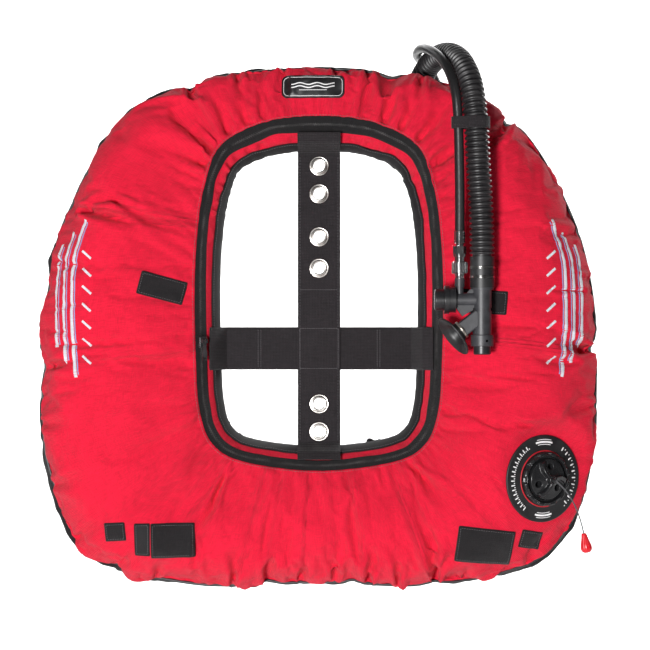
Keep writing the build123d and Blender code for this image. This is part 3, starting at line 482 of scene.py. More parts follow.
def make_corrugated_hose():
    guide = route_curve("hose_guide", HOSE_ROUTE)
    bpy.context.view_layer.update()
    mesh = bpy.data.meshes.new_from_object(guide)
    points, at = spaced(np.array([v.co for v in mesh.vertices]) / MM, RIB_PITCH / 10)
    bpy.data.meshes.remove(mesh)
    bpy.data.objects.remove(guide)
    wave = 0.5 + 0.5 * np.cos(2 * np.pi * at / RIB_PITCH)
    ribs = np.clip(wave * 1.35, 0, 1) ** 0.6
    ends = np.minimum(at, at[-1] - at) < PLAIN_END
    radii = np.where(ends, RIB_R - RIB_DEPTH, RIB_R - RIB_DEPTH * (1 - ribs))
    hose = tube("corrugated_hose_ribs", points, radii, 40)
    finish_piece(hose, "hose_assembly", "hose_rubber", "corrugated_hose")
    exit_point(HOSE_ROUTE)


def make_round_cord(name, route, radius, resolution):
    cord = route_curve(name, route)
    cord.data.bevel_depth = radius * MM
    cord.data.bevel_resolution = resolution
    cord.data.use_fill_caps = True
    return cord


def make_lp_hose():
    hose = make_round_cord("lp_hose_line", LP_HOSE_ROUTE, LP_HOSE_R, 8)
    finish_piece(hose, "hose_assembly", "lp_rubber", "lp_hose")
    exit_point(LP_HOSE_ROUTE)


def make_pull_cord(knob):
    cord = make_round_cord("pull_cord_line", PULL_CORD_ROUTE, PULL_CORD_R, 5)
    finish_piece(cord, "dump_plunger", "cord_grey", "pull_cord")
    exit_point(PULL_CORD_ROUTE)


KNOB_PROFILE = [(0, 0.1), (2.2, 0.1), (3.0, 0.8), (3.3, 3), (4.4, 7.5), (5.8, 12), (6.6, 16),
                (6.5, 19), (5.2, 21.6), (3.0, 22.7), (0, 23)]
KNOB_AXIS = Vector((4.2, 0.5, -22.6)).normalized()
KNOB_LENGTH, KNOB_GROOVES, GROOVE_DEPTH = 23, 9, 0.5


def make_knob():
    """Teardrop knob with moulded grooves along it."""
    start = Vector(PULL_CORD_ROUTE[-1])
    knob = lathe("pull_knob_ribbed", KNOB_PROFILE, start, KNOB_AXIS, 72, closed=False)
    side, other = square_to(KNOB_AXIS)
    for vertex in knob.data.vertices:
        offset = vertex.co / MM - start
        height = offset.dot(KNOB_AXIS)
        out = offset - KNOB_AXIS * height
        if out.length > 0.5:
            angle = math.atan2(out.dot(other), out.dot(side))
            groove = 0.5 - 0.5 * math.cos(KNOB_GROOVES * angle)
            groove *= GROOVE_DEPTH * math.sin(math.pi * height / KNOB_LENGTH)
            vertex.co -= out.normalized() * groove * MM
    subdivide(knob)
    return finish_piece(knob, "dump_plunger", "red_plastic", "pull_knob")


make_corrugated_hose()
make_lp_hose()
make_pull_cord(make_knob())

# ------------------------------------------------------------------ the ring's shape
# The same sections as the CAD: inner x, z, outer x, z, half depth, tape outer, tape inner.
STATIONS = [
    (0, 191, 0, 287, 34, 37, 18), (50, 187, 85, 281, 36, 36, 18), (92, 170, 165, 262, 42, 32, 17),
    (106, 140, 240, 212, 50, 28, 15), (114, 95, 296, 115, 58, 26, 14),
    (117.5, 30, 321, 20, 62, 26, 13), (116, -60, 325, -90, 62, 26, 13),
    (113, -105, 318, -180, 64, 26, 13), (103, -135, 270, -280, 62, 26, 13),
    (75, -150, 150, -318, 56, 25, 13), (0, -158, 0, -317, 52, 25, 13),
]
SEAM_DEG, BACK_BINDING_DEG, BINDING_WIDTH = 8.0, 190.0, 7.0
AROUND = 400              # sections round the whole ring
FRONT_COLUMNS, BACK_COLUMNS = 40, 34

# Places where the outline is drawn in: x, z, depth, width.
NOTCHES = [
    (227, 227, 9, 13), (316, -43, 9, 15), (135, -309, 7, 14), (-272, 118, 10, 14),
    (-313, -62, 7, 16), (-150, 270, 5, 18), (85, 283, 5, 14), (-60, -317, 4, 12),
    (40, -318, 4, 10), (-235, -295, 4, 14), (-318, 30, 3, 20),
]


def curve_value(p0, p1, p2, p3, t):
    """Catmull-Rom curve from p1 to p2."""
    slope_in, slope_out = (p2 - p0) / 2, (p3 - p1) / 2
    return (p1 * (1 - 3 * t**2 + 2 * t**3) + p2 * (3 * t**2 - 2 * t**3)
            + slope_in * (t - 2 * t**2 + t**3) + slope_out * (t**3 - t**2))


def stations_at(t):
    """Sections at places 0 to 10 along the half ring on the +X side."""
    table = np.array([STATIONS[1], *STATIONS, STATIONS[-2]], float)
    table[0, [0, 2]] *= -1
    table[-1, [0, 2]] *= -1
    span = np.minimum(t.astype(int), len(STATIONS) - 2)
    share = (t - span)[:, None]
    return curve_value(table[span], table[span + 1], table[span + 2], table[span + 3], share)


def ring_sections():
    """Sections evenly spaced round the ring, from the top over +X and back."""
    fine = np.linspace(0, len(STATIONS) - 1, 2001)
    middle = stations_at(fine)
    centre = (middle[:, 0:2] + middle[:, 2:4]) / 2
    length = lengths_along(centre)
    half = stations_at(np.interp(np.linspace(0, length[-1], AROUND // 2 + 1), length, fine))
    other = half[-2:0:-1].copy()
    other[:, [0, 2]] *= -1
    return np.vstack([half, other]), 2 * length[-1]


SECTIONS, RING_LENGTH = ring_sections()
HALF_WIDTH = np.hypot(SECTIONS[:, 2] - SECTIONS[:, 0], SECTIONS[:, 3] - SECTIONS[:, 1]) / 2


def front_angle(distance):
    """Section angle, in degrees, of the front point so far from the opening's edge."""
    return 180 - np.degrees(np.arccos((HALF_WIDTH - distance) / HALF_WIDTH))


def ring_grid(start, end, columns):
    """Points of the ring's surface between two section angles, given per section."""
    share = np.linspace(0, 1, columns)[None, :]
    angle = np.radians(np.broadcast_to(start, (AROUND,))[:, None] * (1 - share)
                       + np.broadcast_to(end, (AROUND,))[:, None] * share)
    inner, outer_edge = SECTIONS[:, 0:2], SECTIONS[:, 2:4]
    centre, along = (inner + outer_edge) / 2, (outer_edge - inner) / (2 * HALF_WIDTH[:, None])
    a = HALF_WIDTH[:, None] * np.cos(angle)
    y = -SECTIONS[:, 4][:, None] * np.sin(angle)
    x = centre[:, 0:1] + along[:, 0:1] * a
    z = centre[:, 1:2] + along[:, 1:2] * a
    return np.stack([x, y, z], 2)


NOTCH_REACH = 60          # mm inwards from the outline that a notch still pulls


def drawn_in(points):
    """The outline's notches: points near one move towards the ring's middle line."""
    middle = (SECTIONS[:, 0:2] + SECTIONS[:, 2:4]) / 2
    result = points.copy()
    inward = np.zeros_like(points)
    inward[..., 0] = middle[:, 0:1] - points[..., 0]
    inward[..., 2] = middle[:, 1:2] - points[..., 2]
    reach = np.maximum(np.linalg.norm(inward, axis=2), 1)
    from_edge = np.linalg.norm(points[..., [0, 2]] - SECTIONS[:, None, 2:4], axis=2)
    outside = np.clip(1 - from_edge / NOTCH_REACH, 0, 1)
    for x, z, depth, width in NOTCHES:
        distance = np.hypot(SECTIONS[:, 2] - x, SECTIONS[:, 3] - z)[:, None]
        pull = depth * np.exp(-((distance / width) ** 2)) * outside ** 1.5
        result += inward * (pull / reach)[..., None]
    return result


def smooth_noise(values, period, seed):
    """Periodic noise round the ring, one value per section, between about -1 and 1."""
    turn = 2 * np.pi * values / RING_LENGTH
    radius = RING_LENGTH / (2 * np.pi * period)
    return np.array([2 * noise(Vector((radius * math.cos(a), radius * math.sin(a), seed)))
                     for a in turn])


ALONG = np.arange(AROUND) * RING_LENGTH / AROUND
# Straps, teeth and slider sit on the opening's edge, so it stays true beside them.
SLIDER_SIDE = np.exp(-(((SECTIONS[:, 1] + 10) / 75) ** 2)) * (SECTIONS[:, 0] < 0)
UPRIGHT_STRAP = np.exp(-((SECTIONS[:, 0] / 34) ** 4))
CROSS_STRAP = np.exp(-(((SECTIONS[:, 1] + 42) / 34) ** 4))
FREE_EDGE = (1 - SLIDER_SIDE) * (1 - UPRIGHT_STRAP) * (1 - CROSS_STRAP)
TOP_EDGE = np.clip((SECTIONS[:, 1] - 60) / 90, 0, 1)


# ------------------------------------------------------------------ inflated covers
ELBOW_SEAT = np.array((115.0, 33.0, 182.0))
# Radius that lies flat, and the width over which the fabric leaves the seat again.
VALVE_FLAT, VALVE_FADE, ELBOW_FLAT, ELBOW_FADE = 52, 26, 26, 22
VALVE_BACK = -45          # mm below the valve's seat where its front patch ends


def valve_distance(points):
    """Distance from the valve's axis, and height along it."""
    offset = points - np.array(VALVE_CENTRE)
    axis = np.array(VALVE_AXIS)
    height = offset @ axis
    return np.linalg.norm(offset - height[..., None] * axis, axis=-1), height


def elbow_distance(points):
    return np.hypot(points[..., 0] - ELBOW_SEAT[0], points[..., 2] - ELBOW_SEAT[2])


def seat_weight(distance, radius, fade):
    weight = np.clip(1 - (distance - radius) / fade, 0, 1)
    return weight * weight * (3 - 2 * weight)


def valve_skin(distance, across):
    """Height of the fabric round the valve: it falls away, most of all outwards."""
    return -0.2 - 0.0006 * np.clip(distance, 0, 60) ** 2 * (1 + 0.7 * np.clip(across / 50, 0, 1))


def settle_on_seats(front, back):
    """The fabric lies flat where the valve and the elbow are clamped through it."""
    distance, height = valve_distance(front)
    weight = seat_weight(distance, VALVE_FLAT, VALVE_FADE) * (height > VALVE_BACK)
    across = (front - np.array(VALVE_CENTRE)) @ np.array(VALVE_SIDE)
    lift = weight * (valve_skin(distance, across) - height)
    front = front + np.array(VALVE_AXIS) * lift[..., None]
    weight = seat_weight(elbow_distance(back), ELBOW_FLAT, ELBOW_FADE) * (back[..., 1] > 0)
    back = back.copy()
    back[..., 1] += weight * (ELBOW_SEAT[1] + 0.6 - back[..., 1])
    return front, back


tape_outer = front_angle(SECTIONS[:, 5])
tape_inner = front_angle(SECTIONS[:, 6])
binding_edge = front_angle(BINDING_WIDTH)
front_rest = drawn_in(ring_grid(SEAM_DEG, tape_outer, FRONT_COLUMNS))
back_rest = drawn_in(ring_grid(BACK_BINDING_DEG, 360 + SEAM_DEG, BACK_COLUMNS))
CLOTH_GROWTH, CLOTH_FRAMES = 0.05, 22
CLOTH_CAP = 15.0          # mm that a point of the cloth may move
VALVE_HELD = 34           # radius held still round the valve


def inflate_covers():
    """Both covers in one closed ring, held along the seam and the opening's edge."""
    edge = ring_grid(tape_outer, BACK_BINDING_DEG, 4)[:, 1:-1]
    whole = np.concatenate([front_rest, edge, back_rest[:, :-1]], axis=1)
    rows, columns = whole.shape[:2]
    pinned = np.zeros((rows, columns))
    pinned[:, 0] = 1
    pinned[:, FRONT_COLUMNS - 1:FRONT_COLUMNS + 3] = 1
    distance, _ = valve_distance(whole)
    pinned[distance < VALVE_HELD] = 1
    pinned[(elbow_distance(whole) < ELBOW_FLAT) & (whole[..., 1] > 0)] = 1
    faces = grid_faces(rows, columns, wrap_rows=True, wrap_columns=True)
    moved = simulate_ring(whole, faces, pinned)
    back = np.concatenate([moved[:, FRONT_COLUMNS + 2:], moved[:, :1]], axis=1)
    return moved[:, :FRONT_COLUMNS], back


def simulate_ring(whole, faces, pinned):
    """Cloth under pressure. Returns where the points end up, at most CLOTH_CAP away."""
    obj = add_mesh("cloth_pass", whole.reshape(-1, 3), faces)
    fix_normals(obj)
    group = obj.vertex_groups.new(name="pinned")
    group.add([int(i) for i in np.nonzero(pinned.reshape(-1))[0]], 1.0, "REPLACE")
    cloth = obj.modifiers.new("cloth", "CLOTH")
    settings = cloth.settings
    settings.quality = 4
    settings.mass = 0.3
    settings.tension_stiffness = settings.compression_stiffness = 20
    settings.shear_stiffness = 8
    settings.bending_stiffness = 0.4
    settings.air_damping = 8
    settings.shrink_min = -CLOTH_GROWTH
    settings.use_pressure = True
    settings.uniform_pressure_force = 4
    settings.vertex_group_mass = "pinned"
    settings.effector_weights.gravity = 0
    cloth.collision_settings.use_collision = False
    for step in range(1, CLOTH_FRAMES + 1):
        scene.frame_set(step)
    apply_modifiers(obj)
    moved = np.array([v.co for v in obj.data.vertices]).reshape(whole.shape) / MM
    bpy.data.objects.remove(obj)
    scene.frame_set(1)
    shift = moved - whole
    size = np.linalg.norm(shift, axis=2, keepdims=True)
    return whole + shift * np.minimum(1, CLOTH_CAP / np.maximum(size, 1e-6))


front_shape, back_shape = inflate_covers()


def refine(grid):
    """Twice as many points both ways, on smooth curves; the first index is closed."""
    def doubled(g, closed):
        if closed:
            before, after, far = np.roll(g, 1, 0), np.roll(g, -1, 0), np.roll(g, -2, 0)
            half = curve_value(before, g, after, far, 0.5)
            return np.stack([g, half], 1).reshape(-1, *g.shape[1:])
        wide = np.concatenate([2 * g[:1] - g[1:2], g, 2 * g[-1:] - g[-2:-1]])
        half = curve_value(wide[:-3], wide[1:-2], wide[2:-1], wide[3:], 0.5)
        result = np.zeros((2 * len(g) - 1, *g.shape[1:]))
        result[0::2], result[1::2] = g, half
        return result
    return np.swapaxes(doubled(np.swapaxes(doubled(grid, True), 0, 1), False), 0, 1)


def grid_normals(grid, sign=-1):
    """Normals that look along sign * Y on the whole."""
    along = np.roll(grid, -1, 0) - np.roll(grid, 1, 0)
    across = np.gradient(grid, axis=1)
    normal = np.cross(along, across)
    normal = normal / np.maximum(np.linalg.norm(normal, axis=2, keepdims=True), 1e-9)
    return normal * np.sign((sign * normal[..., 1] > 0).mean() - 0.5)


# Folds seen on the front: x, z of both ends, depth, half width. The fold is deepest at
# its first end and fades towards the second.
FOLD_DEPTH = 1.6
SHOULDER = 0.42           # height of the raised shoulders beside a fold, as a share of its depth
FOLDS = [
    (-272, 118, -205, 100, 9, 9), (-272, 118, -225, 138, 5, 8), (-232, 128, -165, 92, 4, 9),
    (-110, 172, -172, 238, 8, 8), (-114, 165, -205, 205, 7, 9), (-94, 186, -128, 262, 7, 8),
    (-80, 192, -92, 255, 6, 8), (-62, 200, -66, 262, 4, 7), (-118, 140, -170, 148, 3, 8),
    (-120, 112, -165, 108, 2.5, 8), (100, 178, 150, 245, 7, 8), (88, 190, 112, 262, 6, 7),
    (112, 158, 185, 205, 6, 9), (72, 198, 84, 268, 5, 7), (118, 128, 175, 140, 3, 8),
    (227, 227, 176, 178, 8, 9), (316, -43, 262, -28, 7, 9), (316, -43, 255, -62, 4, 9),
    (-313, -62, -262, -50, 5, 9), (135, -309, 124, -240, 9, 8), (135, -309, 158, -262, 5, 7),
    (-112, -196, -142, -262, 7, 6), (-142, -262, -139, -306, 5, 5), (112, -182, 150, -222, 5, 8),
    (-100, -314, -92, -268, 6, 7), (-62, -316, -52, -272, 6, 7), (-22, -316, -14, -280, 5, 6),
    (18, -316, 22, -276, 5, 7), (58, -316, 62, -266, 6, 7), (92, -314, 86, -262, 5, 7),
    (170, -312, 176, -292, 4, 6), (-190, -308, -176, -286, 5, 7), (-230, -290, -205, -282, 4, 7),
    (20, 286, 22, 244, 4, 8), (-42, 286, -44, 240, 4, 8), (58, 284, 56, 238, 5, 8),
    (-95, 280, -86, 236, 5, 8), (120, 272, 108, 228, 5, 8), (-152, 268, -136, 226, 5, 8),
    (185, 252, 160, 214, 4, 9), (300, 92, 248, 84, 4, 10), (-304, 60, -262, 50, 3, 10),
    (322, -110, 286, -112, 4, 9), (-322, -130, -280, -128, 4, 9), (-308, -200, -268, -190, 4, 10),
    (-280, -262, -248, -240, 4, 9), (200, -192, 238, -240, 6, 6), (210, -222, 240, -262, 4, 6),
    (236, -128, 292, -136, 4, 8),
]


def folded(grid, normal):
    """Presses each fold into the surface, with a raised shoulder on both sides."""
    x, z = grid[..., 0], grid[..., 2]
    depth = np.zeros(grid.shape[:2])
    for x0, z0, x1, z1, deep, width in FOLDS:
        dx, dz = x1 - x0, z1 - z0
        length = math.hypot(dx, dz)
        bend = 4 * np.sin((x + 2 * z) / 17.0)
        t = ((x - x0) * dx + (z - z0) * dz) / length
        side = (-(x - x0) * dz + (z - z0) * dx) / length + bend * t / length
        spread = width * (0.55 + 0.9 * np.clip(t / length, 0, 1.2))
        reach = np.clip(1 - t / length, 0, 1) ** 0.8 * np.clip(1 + t / 12, 0, 1)
        q = side / spread
        profile = np.exp(-(q * 1.5) ** 2) - SHOULDER * np.exp(-((np.abs(q) - 1.35) * 1.6) ** 2)
        depth += FOLD_DEPTH * deep * reach * profile
    from_outer = lengths_across(grid)
    from_inner = from_outer[:, -1:] - from_outer
    depth *= np.clip((from_inner - 1) / 7, 0, 1) * np.clip(0.12 + from_outer / 16, 0, 1)
    return grid - normal * depth[..., None]


BROAD_WAVE = 4.2


def two_scales(along, period, seed, other_seed):
    return (smooth_noise(along, period, seed) + 0.6 * smooth_noise(along, period // 2, other_seed))[:, None]


def puckered(grid, normal, outer_size, inner_size, seed):
    """Small gathers that run from both sewn edges into the cover, and broad waves between."""
    rows, columns = grid.shape[:2]
    along = np.arange(rows) * RING_LENGTH / rows
    sections = np.repeat(SECTIONS, rows // AROUND, axis=0)
    distance = lengths_across(grid)
    from_inner = distance[:, -1:] - distance
    bottom = np.clip((-sections[:, 3] - 230) / 60, 0, 1)[:, None]
    fade_outer = np.exp(-distance / (20 + 24 * bottom)) * np.clip(distance / 3, 0, 1)
    fade_inner = np.exp(-from_inner / 20) * np.clip((from_inner - 2) / 6, 0, 1)
    height = outer_size * (1 + 0.9 * bottom) * two_scales(along, 26, seed, seed + 5) * fade_outer
    height += inner_size * two_scales(along, 19, seed + 9, seed + 3) * fade_inner
    height += BROAD_WAVE * broad_noise(grid) * (1 - np.exp(-np.minimum(distance, from_inner) / 12))
    return grid + normal * height[..., None]


def broad_noise(grid):
    """Waves of about 46 and 17 mm, worked out at every fourth point and blurred between."""
    rows, columns = grid.shape[:2]
    broad = np.array([[noise(Vector(tuple(p / 46.0))) + 0.35 * noise(Vector(tuple(p / 17.0)))
                       for p in row[::4]] for row in grid[::4]])
    broad = np.repeat(np.repeat(broad, 4, 0), 4, 1)[:rows, :columns]
    kernel = np.hanning(11) / np.hanning(11).sum()
    for axis, mode in ((0, "wrap"), (1, "edge")):
        pad = [(5, 5) if k == axis else (0, 0) for k in range(2)]
        broad = np.apply_along_axis(np.convolve, axis, np.pad(broad, pad, mode=mode), kernel, "valid")
    return broad


def cloth_uv(grid):
    rows, columns = grid.shape[:2]
    along = np.broadcast_to((np.arange(rows) * RING_LENGTH / rows)[:, None], (rows, columns))
    return np.stack([along, lengths_across(grid)], 2)


front_grid = refine(front_shape)
front_normal = grid_normals(front_grid)
front_grid = puckered(folded(front_grid, front_normal), front_normal, 2.6, 1.5, 1.0)
back_grid = refine(back_shape)
back_grid = puckered(back_grid, grid_normals(back_grid, 1), 2.6, 2.2, 31.0)
front_grid, back_grid = settle_on_seats(front_grid, back_grid)


def outward(obj, sign):
    """Turns the surface so that its faces look along sign * Y on the whole."""
    mean = sum(p.normal.y * p.area for p in obj.data.polygons)
    if mean * sign < 0:
        obj.data.flip_normals()


def drop_inside(obj, distance_of, radius):
    """Cuts a round hole for a fitting that is clamped through the fabric."""
    def change(bm):
        inside = distance_of(np.array([v.co for v in bm.verts]) / MM) < radius
        doomed = [v for v, hit in zip(bm.verts, inside) if hit]
        bmesh.ops.delete(bm, geom=doomed, context="VERTS")

    edit_mesh(obj, change)


VALVE_HOLE, ELBOW_HOLE, COVER_THICKNESS, COVER_FILL = 31, 23, 1.2, 0.9
FAR = 99                  # stands for a distance on the other side of the ring


def from_valve(points):
    distance, height = valve_distance(points)
    return np.where(height > VALVE_BACK, distance, FAR)


def from_elbow(points):
    return np.where(points[:, 1] > 0, elbow_distance(points), FAR)


def finish_cover(obj, slot, *replaced):
    thicken(obj, COVER_THICKNESS)
    finish_piece(obj, "root", slot, *replaced)


front_cover = grid_object("front_cover_cloth", front_grid, cloth_uv(front_grid))
outward(front_cover, -1)
drop_inside(front_cover, from_valve, VALVE_HOLE)
front_tree = BVHTree.FromPolygons([v.co.copy() for v in front_cover.data.vertices],
                                  [tuple(p.vertices) for p in front_cover.data.polygons])
finish_cover(front_cover, "red_cordura", "front_cover")
back_cover = grid_object("back_cover_cloth", back_grid, cloth_uv(back_grid))
outward(back_cover, 1)
drop_inside(back_cover, from_elbow, ELBOW_HOLE)
finish_cover(back_cover, "black_nylon", "back_cover", "inner_bladder")

# ------------------------------------------------------------------ opening's edge
def strip(start, end, columns, wave, lift, flat=0.0):
    """A band of the ring between two angles, with cross puckers beyond its flat share.
    Returns its points and the normals of the plain ring below them."""
    grid = ring_grid(start, end, columns)
    normal = grid_normals(grid)
    share = np.clip((np.linspace(0, 1, columns) - flat) / (1 - flat), 0, 1)
    height = wave[:, None] * np.sin(np.pi * share)[None, :] + lift
    return grid + normal * height[..., None], normal


def edge_noise(period, seed, everywhere, top):
    """Waviness of a sewn edge, stronger at the top corners and none at the straps."""
    return smooth_noise(ALONG, period, seed) * FREE_EDGE * (everywhere + top * TOP_EDGE)


edge_wave = edge_noise(42, 3.0, 0.5, 1.6)
inner_wave = edge_noise(30, 6.0, 0.6, 1.4)
tape_wave = edge_noise(24, 8.0, 0.3, 0.9)
cross_pucker = edge_noise(11, 12.0, 0.5, 1.3)


def make_strip(name, slot, grid, thickness, replaced):
    obj = grid_object(name, grid, cloth_uv(grid))
    outward(obj, -1)
    thicken(obj, thickness, 0)
    finish_piece(obj, "root", slot, replaced)


# Each band starts a little under the one before it, and lies that much deeper.
tape_grid, tape_normal = strip(tape_outer - 0.6, tape_inner + 1.2 * edge_wave, 11,
                               0.9 * tape_wave, -1.3)
gusset_grid, _ = strip(tape_inner - 3.0, binding_edge + 1.5 + inner_wave, 13,
                       2.4 * cross_pucker, -2.0, flat=0.3)
binding_grid, _ = strip(binding_edge + 1.6 * inner_wave, BACK_BINDING_DEG + 2, 17,
                        0.5 * cross_pucker + 0.9, 0.0)
make_strip("zip_tape_cloth", "black_tape", tape_grid, 0.8, "zip_tape")
make_strip("gusset_cloth", "red_cordura", gusset_grid, 1.0, "gusset_strip")
make_strip("edge_binding_tape", "black_binding", binding_grid, 1.4, "edge_binding")


# ------------------------------------------------------------------ repeated small shapes
GRAIN_FACES = grid_faces(4, 6, wrap_columns=True) + [tuple(range(6))[::-1], tuple(range(18, 24))]


class Bits:
    """Many small closed shapes collected in one mesh, in millimetres."""

    def __init__(self):
        self.vertices = []
        self.faces = []

    def add(self, points, faces):
        first = len(self.vertices)
        self.vertices += points
        self.faces += [tuple(first + k for k in face) for face in faces]

    def grain(self, centre, along, normal, length, width, height):
        """A rounded grain: a stitch, a thread end or a small tooth."""
        along, normal = along.normalized(), normal.normalized()
        side = along.cross(normal).normalized()
        points = [centre + along * length * share
                  + turned(side * width / 2 * size, normal * height / 2 * size, a)
                  for share, size in ((-0.5, 0.45), (-0.32, 0.95), (0.32, 0.95), (0.5, 0.45))
                  for a in turn_angles(6)]
        self.add(points, GRAIN_FACES)

    def bar(self, start, end, stretch, width, height):
        """A grain from one point to another, facing the front."""
        along = end - start
        self.grain((start + end) / 2, along, FRONT, along.length * stretch, width, height)

    def finish(self, name, body, slot, look, *replaced):
        obj = add_mesh(name, self.vertices, self.faces)
        fix_normals(obj)
        finish_piece(obj, body, slot, *replaced, look=look)


FRONT = Vector((0, -1, 0))


def stitch_along(bits, points, normals, pitch=3.2, length=2.2, width=0.55, lift=0.15):
    """Stitches along a line of points, with the surface's normal at each."""
    points, normals = np.asarray(points, float), np.asarray(normals, float)
    reach = lengths_along(points)
    for at in np.arange(pitch / 2, reach[-1], pitch):
        along = value_at(min(at + 0.5, reach[-1]), reach, points) - value_at(at - 0.5, reach, points)
        normal = value_at(at, reach, normals)
        bits.grain(value_at(at, reach, points) + normal * lift, along, normal, length, width, width)


# ------------------------------------------------------------------ zip chain
TOOTH_PITCH, TOOTH_LENGTH, TOOTH_WIDTH, TOOTH_HEIGHT = 2.6, 2.7, 1.05, 1.3


def make_zip_chain():
    """Teeth from both sides in turn, along the tape's middle."""
    bits = Bits()
    column = tape_grid.shape[1] // 2
    middle = closed_loop(tape_grid, column)
    normal = closed_loop(tape_normal, column)
    across = closed_loop(np.gradient(tape_grid, axis=1), column)
    reach = lengths_along(middle)
    for count, at in enumerate(np.arange(0, reach[-1], TOOTH_PITCH / 2)):
        up = value_at(at, reach, normal).normalized()
        side = value_at(at, reach, across).normalized() * (1 if count % 2 else -1)
        place = value_at(at, reach, middle) + up * 1.1 + side * 0.75
        bits.grain(place, side, up, TOOTH_LENGTH, TOOTH_WIDTH, TOOTH_HEIGHT)
    bits.finish("zip_chain_teeth", "root", "zip_plastic", "zip_plastic", "zip_teeth")


make_zip_chain()

# ------------------------------------------------------------------ piping and topstitching
PIPING_R, PIPING_AROUND = 2.0, 10


def make_piping():
    """Round piping over the seam, from the covers' common edge."""
    line = front_grid[:, 0]
    middle = np.repeat((SECTIONS[:, 0:2] + SECTIONS[:, 2:4]) / 2, 2, axis=0)
    inward = np.stack([middle[:, 0] - line[:, 0], 0 * line[:, 0], middle[:, 1] - line[:, 2]], 1)
    inward /= np.linalg.norm(inward, axis=1, keepdims=True)
    line = line + inward * 0.4
    rows = len(line)
    points = []
    for k in range(rows):
        along = Vector(line[(k + 1) % rows] - line[k - 1]).normalized()
        out = Vector(-inward[k])
        up = along.cross(out).normalized()
        points += [Vector(line[k]) + turned(out, up, a) * PIPING_R for a in turn_angles(PIPING_AROUND)]
    faces = grid_faces(rows, PIPING_AROUND, wrap_rows=True, wrap_columns=True)
    obj = add_mesh("seam_piping_cord", points, faces)
    fix_normals(obj)
    finish_piece(obj, "root", "black_binding", "seam_piping", look="cuff_rubber")


make_piping()


def make_topstitching(name, grid, column, pitch, length, lift):
    """A row of stitches round the opening, along one column of a sewn grid."""
    bits = Bits()
    normals = closed_loop(grid_normals(grid), column)
    stitch_along(bits, closed_loop(grid, column), normals, pitch, length, 0.5, lift)
    bits.finish(name, "root", "black_binding", "grey_thread")


make_topstitching("cover_topstitching", front_grid, -2, 3.4, 2.5, 0.2)
make_topstitching("binding_stitching", binding_grid, 1, 3.0, 2.1, 0.7)


# ------------------------------------------------------------------ pieces sewn on the front
def surface_at(x, z):
    """The front cover's point below (x, z) in mm, or None off the cover."""
    hit, _, _, _ = front_tree.ray_cast(Vector((x * MM, -0.4, z * MM)), Vector((0, 1, 0)))
    return None if hit is None else hit / MM


def rounded_grid(width, height, corner, columns, rows):
    """Points of a rounded rectangle, as a grid."""
    points = np.zeros((rows, columns, 2))
    for i, v in enumerate(np.linspace(-1, 1, rows)):
        for j, u in enumerate(np.linspace(-1, 1, columns)):
            x, z = u * width / 2, v * height / 2
            cx, cz = abs(x) - (width / 2 - corner), abs(z) - (height / 2 - corner)
            if cx > 0 and cz > 0:
                shrink = max(cx, cz) / math.hypot(cx, cz)
                x = math.copysign(width / 2 - corner + cx * shrink, x)
                z = math.copysign(height / 2 - corner + cz * shrink, z)
            points[i, j] = (x, z)
    return points


def rim_of(rows, columns):
    """Indices of a grid's points round its rim, in order."""
    return ([(0, j) for j in range(columns)] + [(i, columns - 1) for i in range(1, rows)]
            + [(rows - 1, j) for j in range(columns - 2, -1, -1)]
            + [(i, 0) for i in range(rows - 2, 0, -1)])


def fitted_heights(flat, heights):
    """Heights of the smooth quadratic surface nearest to the measured ones."""
    x, z = flat[..., 0].ravel(), flat[..., 1].ravel()
    terms = np.stack([np.ones_like(x), x, z, x * x, x * z, z * z], 1)
    weights, *_ = np.linalg.lstsq(terms, heights.ravel(), rcond=None)
    return (terms @ weights).reshape(heights.shape)


